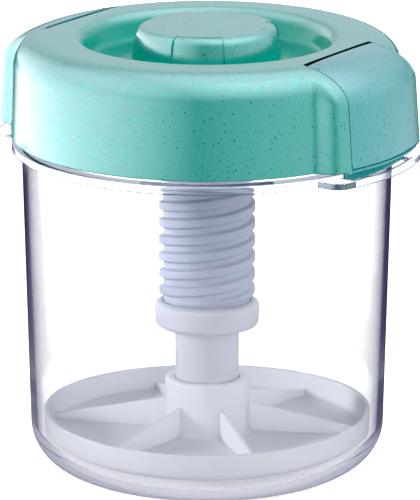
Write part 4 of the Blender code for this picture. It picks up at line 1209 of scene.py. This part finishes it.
def make_plate():
    low_r = PLATE_RADIUS - 0.4 * MM
    bore = STEM_RADIUS + FIT
    seat = STEM_FOOT - FIT
    spigot = STEM_RADIUS - STEM_WALL - FIT
    corners = [(0.0, PLATE_BASE, 0.0), (low_r, PLATE_BASE, RIM_CORNER),
               (PLATE_RADIUS, PLATE_TOP, 0.7 * MM), (PLATE_RADIUS - RIM_WALL, PLATE_TOP, 0.7 * MM),
               (low_r - RIM_WALL, PLATE_FLOOR, 2.0 * MM), (HUB_RADIUS, PLATE_FLOOR, 2.5 * MM),
               (HUB_RADIUS, HUB_TOP, 1.6 * MM), (bore, HUB_TOP, 0.4 * MM), (bore, seat, 0.0),
               (spigot, seat, 0.0), (spigot, seat + 5.0 * MM, 0.3 * MM),
               (spigot - STEM_WALL, seat + 5.0 * MM, 0.3 * MM),
               (spigot - STEM_WALL, PLATE_FLOOR, 0.0), (0.0, PLATE_FLOOR, 0.0)]
    return smooth(turned("plate_white", rounded(corners, 6)))


dress(make_plate(), "press", PLATE_PLASTIC, "press_plastic", "press_plate")


# %% [markdown]
# The ribs are one shape repeated, so one rib is drawn and a small geometry tree sets copies
# of it round the axis. The gussets under the lid's shoulder use the same tree.

# %% Geometry tree: ring of copies
def make_ring_tree():
    tree, given, made = new_group(
        "Ring of Copies", "GeometryNodeTree",
        {"Piece": "Geometry", "Count": 6, "Turn": 0.0, "Material": "Material"},
        {"Geometry": "Geometry"})
    points = add_node(tree, "GeometryNodePoints", {"Count": given["Count"]})
    index = add_node(tree, "GeometryNodeInputIndex").outputs[0]
    step = calc(tree, "DIVIDE", 2.0 * math.pi, given["Count"])
    angle = calc(tree, "ADD", calc(tree, "MULTIPLY", index, step), given["Turn"])
    copies = add_node(tree, "GeometryNodeInstanceOnPoints", {
        "Points": points.outputs[0], "Instance": given["Piece"],
        "Rotation": spot(tree, 0.0, 0.0, angle)})
    finish_tree(tree, copies.outputs[0], given["Material"], made)
    return tree


RING = make_ring_tree()
print("ring of copies:", len(RING.nodes), "nodes")


# %% Ribs and gussets
def wedge(name, side, thick, edge):
    """Flat web along +X with softened edges; side is its outline seen from -Y."""
    web = prism(name, side, -0.5 * thick, 0.5 * thick)
    web.data.transform(Matrix.Rotation(math.pi / 2.0, 4, "X"))
    soft = web.modifiers.new("Soft edge", "BEVEL")
    soft.width = edge
    soft.segments = 3
    return evaluated(web)


def web_ring(name, side, thick, edge, count, first, finish):
    web = wedge(name, side, thick, edge)
    return smooth(run_tree(web, RING, {"Count": count, "Turn": first, "Material": finish}))


RIB_COUNT = 6
RIB_TURN = math.radians(22.7)
rib_inner = HUB_RADIUS - 2.0 * MM
rib_outer = PLATE_RADIUS - 1.3 * MM
rib_side = [(rib_inner, PLATE_BASE + 1.2 * MM), (rib_outer, PLATE_BASE + 1.2 * MM),
            (rib_outer, PLATE_BASE + 4.7 * MM), (rib_inner, PLATE_BASE + 16.1 * MM)]
ribs = web_ring("plate_ribs_white", rib_side, 2.0 * MM, 0.6 * MM, RIB_COUNT, RIB_TURN,
                PLATE_PLASTIC)
dress(ribs, "press", PLATE_PLASTIC, "press_plastic")

GUSSET_COUNT = 8
gusset_inner = PLUG_RADIUS - 0.9 * MM
gusset_outer = SHOULDER_RADIUS - 1.2 * MM
gusset_low = NECK_TOP + FIT
gusset_high = SHOULDER_BASE + 0.5 * MM
gusset_side = [(gusset_inner, gusset_low), (gusset_outer, gusset_low),
               (gusset_outer, gusset_high), (gusset_inner, gusset_high)]
gussets = web_ring("gussets_mint", gusset_side, 1.6 * MM, 0.2 * MM, GUSSET_COUNT,
                   math.pi / GUSSET_COUNT, LID_PLASTIC)
dress(gussets, "lid", LID_PLASTIC, "lid_plastic")

# %% [markdown]
# ## Spring and washer
#
# Both stay hidden in the hollow screw. The spring's centre line is a rule: it climbs slowly
# through the first and the last turn, where the wire lies on itself, and evenly between. A
# geometry tree bends a straight line of points to that rule and carries a round wire along
# it.

# %% Geometry tree: coil spring
def make_coil_tree():
    tree, value, made = new_group(
        "Coil Spring", "GeometryNodeTree",
        {"Geometry": "Geometry", "Turns": 11.5, "Steps": 400, "Coil Radius": 0.0134,
         "Wire Radius": 0.0009, "Low": 0.067, "High": 0.163, "End Pitch": 0.0022,
         "Material": "Material"}, {"Geometry": "Geometry"})
    line = add_node(tree, "GeometryNodeCurvePrimitiveLine")
    fine = add_node(tree, "GeometryNodeResampleCurve", {
        "Curve": line.outputs[0], "Count": value["Steps"]})
    share = add_node(tree, "GeometryNodeSplineParameter").outputs["Factor"]
    lap = calc(tree, "MULTIPLY", share, value["Turns"])
    first = calc(tree, "MINIMUM", lap, 1.0)
    last = calc(tree, "SUBTRACT", lap, calc(tree, "SUBTRACT", value["Turns"], 1.0))
    last = calc(tree, "MAXIMUM", last, 0.0)
    ends = calc(tree, "MULTIPLY", calc(tree, "ADD", first, last), value["End Pitch"])
    active = calc(tree, "SUBTRACT", value["Turns"], 2.0)
    middle = calc(tree, "SUBTRACT", calc(tree, "SUBTRACT", lap, first), last)
    span = calc(tree, "SUBTRACT", value["High"], value["Low"])
    span = calc(tree, "SUBTRACT", span, calc(tree, "MULTIPLY", value["End Pitch"], 2.0))
    climb = calc(tree, "MULTIPLY", calc(tree, "DIVIDE", middle, active), span)
    height = calc(tree, "ADD", calc(tree, "ADD", ends, climb), value["Low"])
    angle = calc(tree, "MULTIPLY", lap, 2.0 * math.pi)
    across, deep = [calc(tree, "MULTIPLY", calc(tree, kind, angle), value["Coil Radius"])
                    for kind in ("COSINE", "SINE")]
    bent = add_node(tree, "GeometryNodeSetPosition", {
        "Geometry": fine.outputs[0], "Position": spot(tree, across, deep, height)})
    wire = add_node(tree, "GeometryNodeCurvePrimitiveCircle", {
        "Resolution": 12, "Radius": value["Wire Radius"]})
    skin = add_node(tree, "GeometryNodeCurveToMesh", {
        "Curve": bent.outputs[0], "Profile Curve": wire.outputs[0], "Fill Caps": True})
    finish_tree(tree, skin.outputs[0], value["Material"], made)
    return tree


COIL = make_coil_tree()
print("coil spring:", len(COIL.nodes), "nodes")

# %% Spring and washer
spring_low, spring_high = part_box("pressure_spring")
WIRE_RADIUS = 0.9 * MM
spring = outline_piece("spring_steel_coil", [(0.0, 0.0), (0.0, WIRE_RADIUS)])
run_tree(spring, COIL, {
    "Turns": 11.5, "Steps": 420, "Coil Radius": spring_high.x - WIRE_RADIUS,
    "Wire Radius": WIRE_RADIUS, "Low": spring_low.z + WIRE_RADIUS,
    "High": spring_high.z - WIRE_RADIUS, "End Pitch": 2.2 * MM, "Material": STEEL})
smooth(spring)
dress(spring, "spring_set", STEEL, "spring_steel", "pressure_spring")
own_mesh(spring)

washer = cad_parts["spring_washer"]
washer.data.materials.clear()
washer.data.materials.append(STEEL)

# %% [markdown]
# ## The studio
#
# Soft light comes from all round, so the world gives it. A weak softbox at the left and a
# narrow light low at the left model the white press. The shine is another matter: a satin
# skin looks like plastic only when it mirrors something. Lamps would light the pieces as
# well, so the reflectors are painted instead, where only glossy rays find them: a large
# bright one at the left, weaker ones at the right, one above the camera, and one high
# behind. Each is a lobe, brightest in one direction. One group holds them, and both the
# world and the floor use it, because a skirt's reflection points down to the floor.
#
# Clear plastic needs the opposite. Its rims show where light is caught inside the wall, and
# in a real studio such rays find the dark room. Rays that have both passed and bounced
# inside the plastic therefore find a dark blue here, which draws the jar's edges. On the
# floor only rays that come down steeply find it, and the length of a ray's last leg tells
# how steep it is.

# %% What each kind of ray finds
WHITE = (1.0, 1.0, 1.0)
# Painted reflections for rays caught inside the clear plastic: a dark blue, and a pale lavender
# under the jar and on the camera's side.
EDGE_BLUE = (0.075, 0.07, 0.19)
UNDER_JAR = (0.7, 0.71, 0.8)
COOL_WHITE = (0.97, 0.99, 1.12)
OVERHEAD = 0.4
HORIZON = 1.6
ALL_ROUND = 0.9


def aim_from(azimuth, elevation):
    """Direction out of the studio's middle; the azimuth counts right from the camera."""
    bearing = math.atan2(CAMERA_PLACE.y, CAMERA_PLACE.x) + math.radians(azimuth)
    lift = math.radians(elevation)
    return Vector((math.cos(bearing) * math.cos(lift), math.sin(bearing) * math.cos(lift),
                   math.sin(lift)))


def ray_kinds(tree):
    """Sockets: seen straight, seen in a shine, seen through plastic, caught inside it."""
    path = add_node(tree, "ShaderNodeLightPath").outputs
    bounced = calc(tree, "MINIMUM", path["Glossy Depth"], 1.0)
    passed = calc(tree, "MINIMUM", path["Transmission Depth"], 1.0)
    deep = calc(tree, "GREATER_THAN", path["Transmission Depth"], 3.5)
    single = calc(tree, "LESS_THAN", path["Glossy Depth"], 1.5)
    inside = calc(tree, "MULTIPLY", bounced, calc(tree, "MULTIPLY", deep, single))
    caught = calc(tree, "SUBTRACT", calc(tree, "MULTIPLY", bounced, passed), inside, clamp=True)
    shine = calc(tree, "SUBTRACT", path["Is Glossy Ray"], path["Is Transmission Ray"], clamp=True)
    shine = calc(tree, "MAXIMUM", shine, inside)
    return path["Is Camera Ray"], shine, path["Is Transmission Ray"], caught


def lobe(tree, direction, azimuth, elevation, low, strength):
    """A painted reflector: from nothing at the cosine low to its strength straight on."""
    facing = vector(tree, "DOT_PRODUCT", direction, aim_from(azimuth, elevation))
    return spread(tree, facing, low, 1.0, 0.0, strength)


def make_shine_group():
    """Each reflector: what it is measured on, azimuth, elevation, first cosine, strength."""
    tree, given, made = new_group("Studio Shine", "ShaderNodeTree", {"Place": "Vector"},
                                  {"Strength": "Float"})
    level = vector(tree, "MULTIPLY", given["Place"], (1.0, 1.0, 0.0))
    around = vector(tree, "NORMALIZE", level)
    direction = vector(tree, "NORMALIZE", given["Place"])
    total = ALL_ROUND
    for source, azimuth, elevation, low, strength in (
            (direction, -85.0, -5.0, 0.2, 9.3), (around, 66.0, 0.0, 0.3, 2.2),
            (direction, 0.0, 78.0, 0.45, 6.0), (direction, 180.0, 60.0, 0.6, 1.4),
            (direction, 90.0, 50.0, 0.5, 2.0)):
        reflector = lobe(tree, source, azimuth, elevation, low, strength)
        total = calc(tree, "ADD", total, reflector)
    feed(tree, made, {"Strength": total})
    return tree


SHINE = make_shine_group()


def shine_at(tree, place):
    return add_node(tree, "ShaderNodeGroup", {"Place": place}, node_tree=SHINE).outputs["Strength"]


def behind(tree, place, low=-0.2, high=0.2):
    """0 on the camera's side of the studio, 1 on the far side."""
    flat = vector(tree, "NORMALIZE", place)
    return spread(tree, vector(tree, "DOT_PRODUCT", flat, aim_from(180.0, 0.0)), low, high)


def edge_side(tree, place):
    """Share of the painted dark edge reflection: a little less on the camera's side."""
    return spread(tree, behind(tree, place), 0.0, 1.0, 0.75, 1.0)


def glow(tree, kind, colour, strength):
    return add_node(tree, kind, {"Color": colour, "Strength": strength}).outputs[0]


# %% Floor
# Painted contact shadow: the floor's glow drops to CONTACT_SHADE of its strength near the jar.
CONTACT_RADIUS = (0.055, 0.072)
CONTACT_SHADE = 0.35
UNDER_RADIUS = (0.074, 0.08)
STEEP_RAY = (0.64, 0.84)
FRONT_SHINE = (0.18, 0.36)
BACK_SHINE = (0.42, 0.5)
UNLIT_SHINE = 0.03
BACK_GAP = 0.05


def make_floor():
    material, tree, shader = new_material("studio_floor", {
        "Base Color": (0.93, 0.93, 0.93), "Roughness": 0.9, "Specular IOR Level": 0.0})
    seen, shine, through, caught = ray_kinds(tree)
    place = object_place(tree)
    gap = vector(tree, "LENGTH", place)
    # Painted contact shadow under the jar.
    clear = spread(tree, gap, *CONTACT_RADIUS, kind="SMOOTHSTEP")
    strength = calc(tree, "MULTIPLY", calc(tree, "ADD", seen, through),
                    spread(tree, clear, 0.0, 1.0, CONTACT_SHADE, 1.0))
    backdrop = glow(tree, "ShaderNodeEmission", WHITE, strength)
    both = add_node(tree, "ShaderNodeAddShader", {0: shader.outputs[0], 1: backdrop})
    from_lid = vector(tree, "SUBTRACT", place, (0.0, 0.0, CREST))
    back = behind(tree, place, 0.3, 0.6)
    near, beyond = [spread(tree, back, 0.0, 1.0, front, rear)
                    for front, rear in zip(FRONT_SHINE, BACK_SHINE)]
    far = spread(tree, gap, near, beyond, UNLIT_SHINE, 1.0, kind="SMOOTHSTEP")
    straight_back = behind(tree, place, 0.75, 0.9)
    far = calc(tree, "MULTIPLY", far, spread(tree, straight_back, 0.0, 1.0, 1.0, BACK_GAP))
    mirrored = glow(tree, "ShaderNodeEmission", COOL_WHITE,
                    calc(tree, "MULTIPLY", far, shine_at(tree, from_lid)))
    edge = glow(tree, "ShaderNodeEmission", EDGE_BLUE, 1.0)
    under = glow(tree, "ShaderNodeEmission", UNDER_JAR, 1.0)
    outside = spread(tree, gap, *UNDER_RADIUS, kind="SMOOTHSTEP")
    dark = calc(tree, "MULTIPLY", outside, edge_side(tree, place))
    length = add_node(tree, "ShaderNodeLightPath").outputs["Ray Length"]
    run = calc(tree, "SUBTRACT", calc(tree, "POWER", gap, 2.0), BODY_RADIUS ** 2)
    run = calc(tree, "DIVIDE", run, calc(tree, "POWER", length, 2.0))
    dark = calc(tree, "MULTIPLY", dark, spread(tree, run, *STEEP_RAY))
    made = pick(tree, shine, both.outputs[0], mirrored)
    made = pick(tree, caught, made, pick(tree, dark, under, edge))
    feed(tree, tree.nodes["Material Output"], {"Surface": made})
    floor = turned("floor", [(0.0, -2.0 * MM), (8.0, -2.0 * MM), (8.0, 0.0), (0.0, 0.0)], 64)
    floor.data.materials.append(material)


make_floor()


# %% World
def make_world():
    world = bpy.data.worlds.new("studio")
    world.use_nodes = True
    bpy.context.scene.world = world
    tree = world.node_tree
    ambient = tree.nodes["Background"]
    seen, shine, through, caught = ray_kinds(tree)
    place = add_node(tree, "ShaderNodeTexCoord").outputs["Generated"]
    level = spread(tree, split(tree, place)["Z"], 0.0, 1.0, HORIZON, OVERHEAD)
    flag = calc(tree, "SUBTRACT", 1.0, lobe(tree, place, -105.0, 0.0, 0.15, 1.0))
    feed(tree, ambient, {"Color": (0.96, 0.98, 1.0),
                         "Strength": calc(tree, "MULTIPLY", level, flag)})
    open_air, edge, pale = [glow(tree, "ShaderNodeBackground", colour, strength)
                            for colour, strength in ((WHITE, 1.2), (EDGE_BLUE, 1.0),
                                                     (UNDER_JAR, 1.0))]
    mirrored = glow(tree, "ShaderNodeBackground", COOL_WHITE, shine_at(tree, place))
    made = pick(tree, calc(tree, "MAXIMUM", seen, through), ambient.outputs[0], open_air)
    made = pick(tree, shine, made, mirrored)
    made = pick(tree, caught, made, pick(tree, edge_side(tree, place), pale, edge))
    feed(tree, tree.nodes["World Output"], {"Surface": made})


make_world()


# %% Lamps
def add_softbox(name, azimuth, elevation, distance, size, radiance, height=0.1, beam=180.0):
    """Square area lamp aimed at a point on the axis; a narrow beam spares the lid."""
    data = bpy.data.lights.new(name, "AREA")
    data.shape = "SQUARE"
    data.size = size
    data.energy = math.pi * size * size * radiance
    data.spread = math.radians(beam)
    lamp = bpy.data.objects.new(name, data)
    out = aim_from(azimuth, elevation)
    lamp.location = Vector((0.0, 0.0, height)) + distance * out
    lamp.rotation_euler = (-out).to_track_quat("-Z", "Y").to_euler()
    for hidden_from in ("camera", "glossy", "transmission"):
        setattr(lamp, "visible_" + hidden_from, False)
    bpy.context.collection.objects.link(lamp)


add_softbox("left_softbox", azimuth=-100.0, elevation=25.0, distance=1.3, size=0.9,
            radiance=0.06)
add_softbox("press_light", azimuth=-85.0, elevation=20.0, distance=0.5, size=0.16,
            radiance=0.5, height=0.045, beam=12.0)
bpy.context.scene.view_settings.view_transform = "Standard"
print("lamps:", ", ".join(lamp.name for lamp in bpy.data.lights))
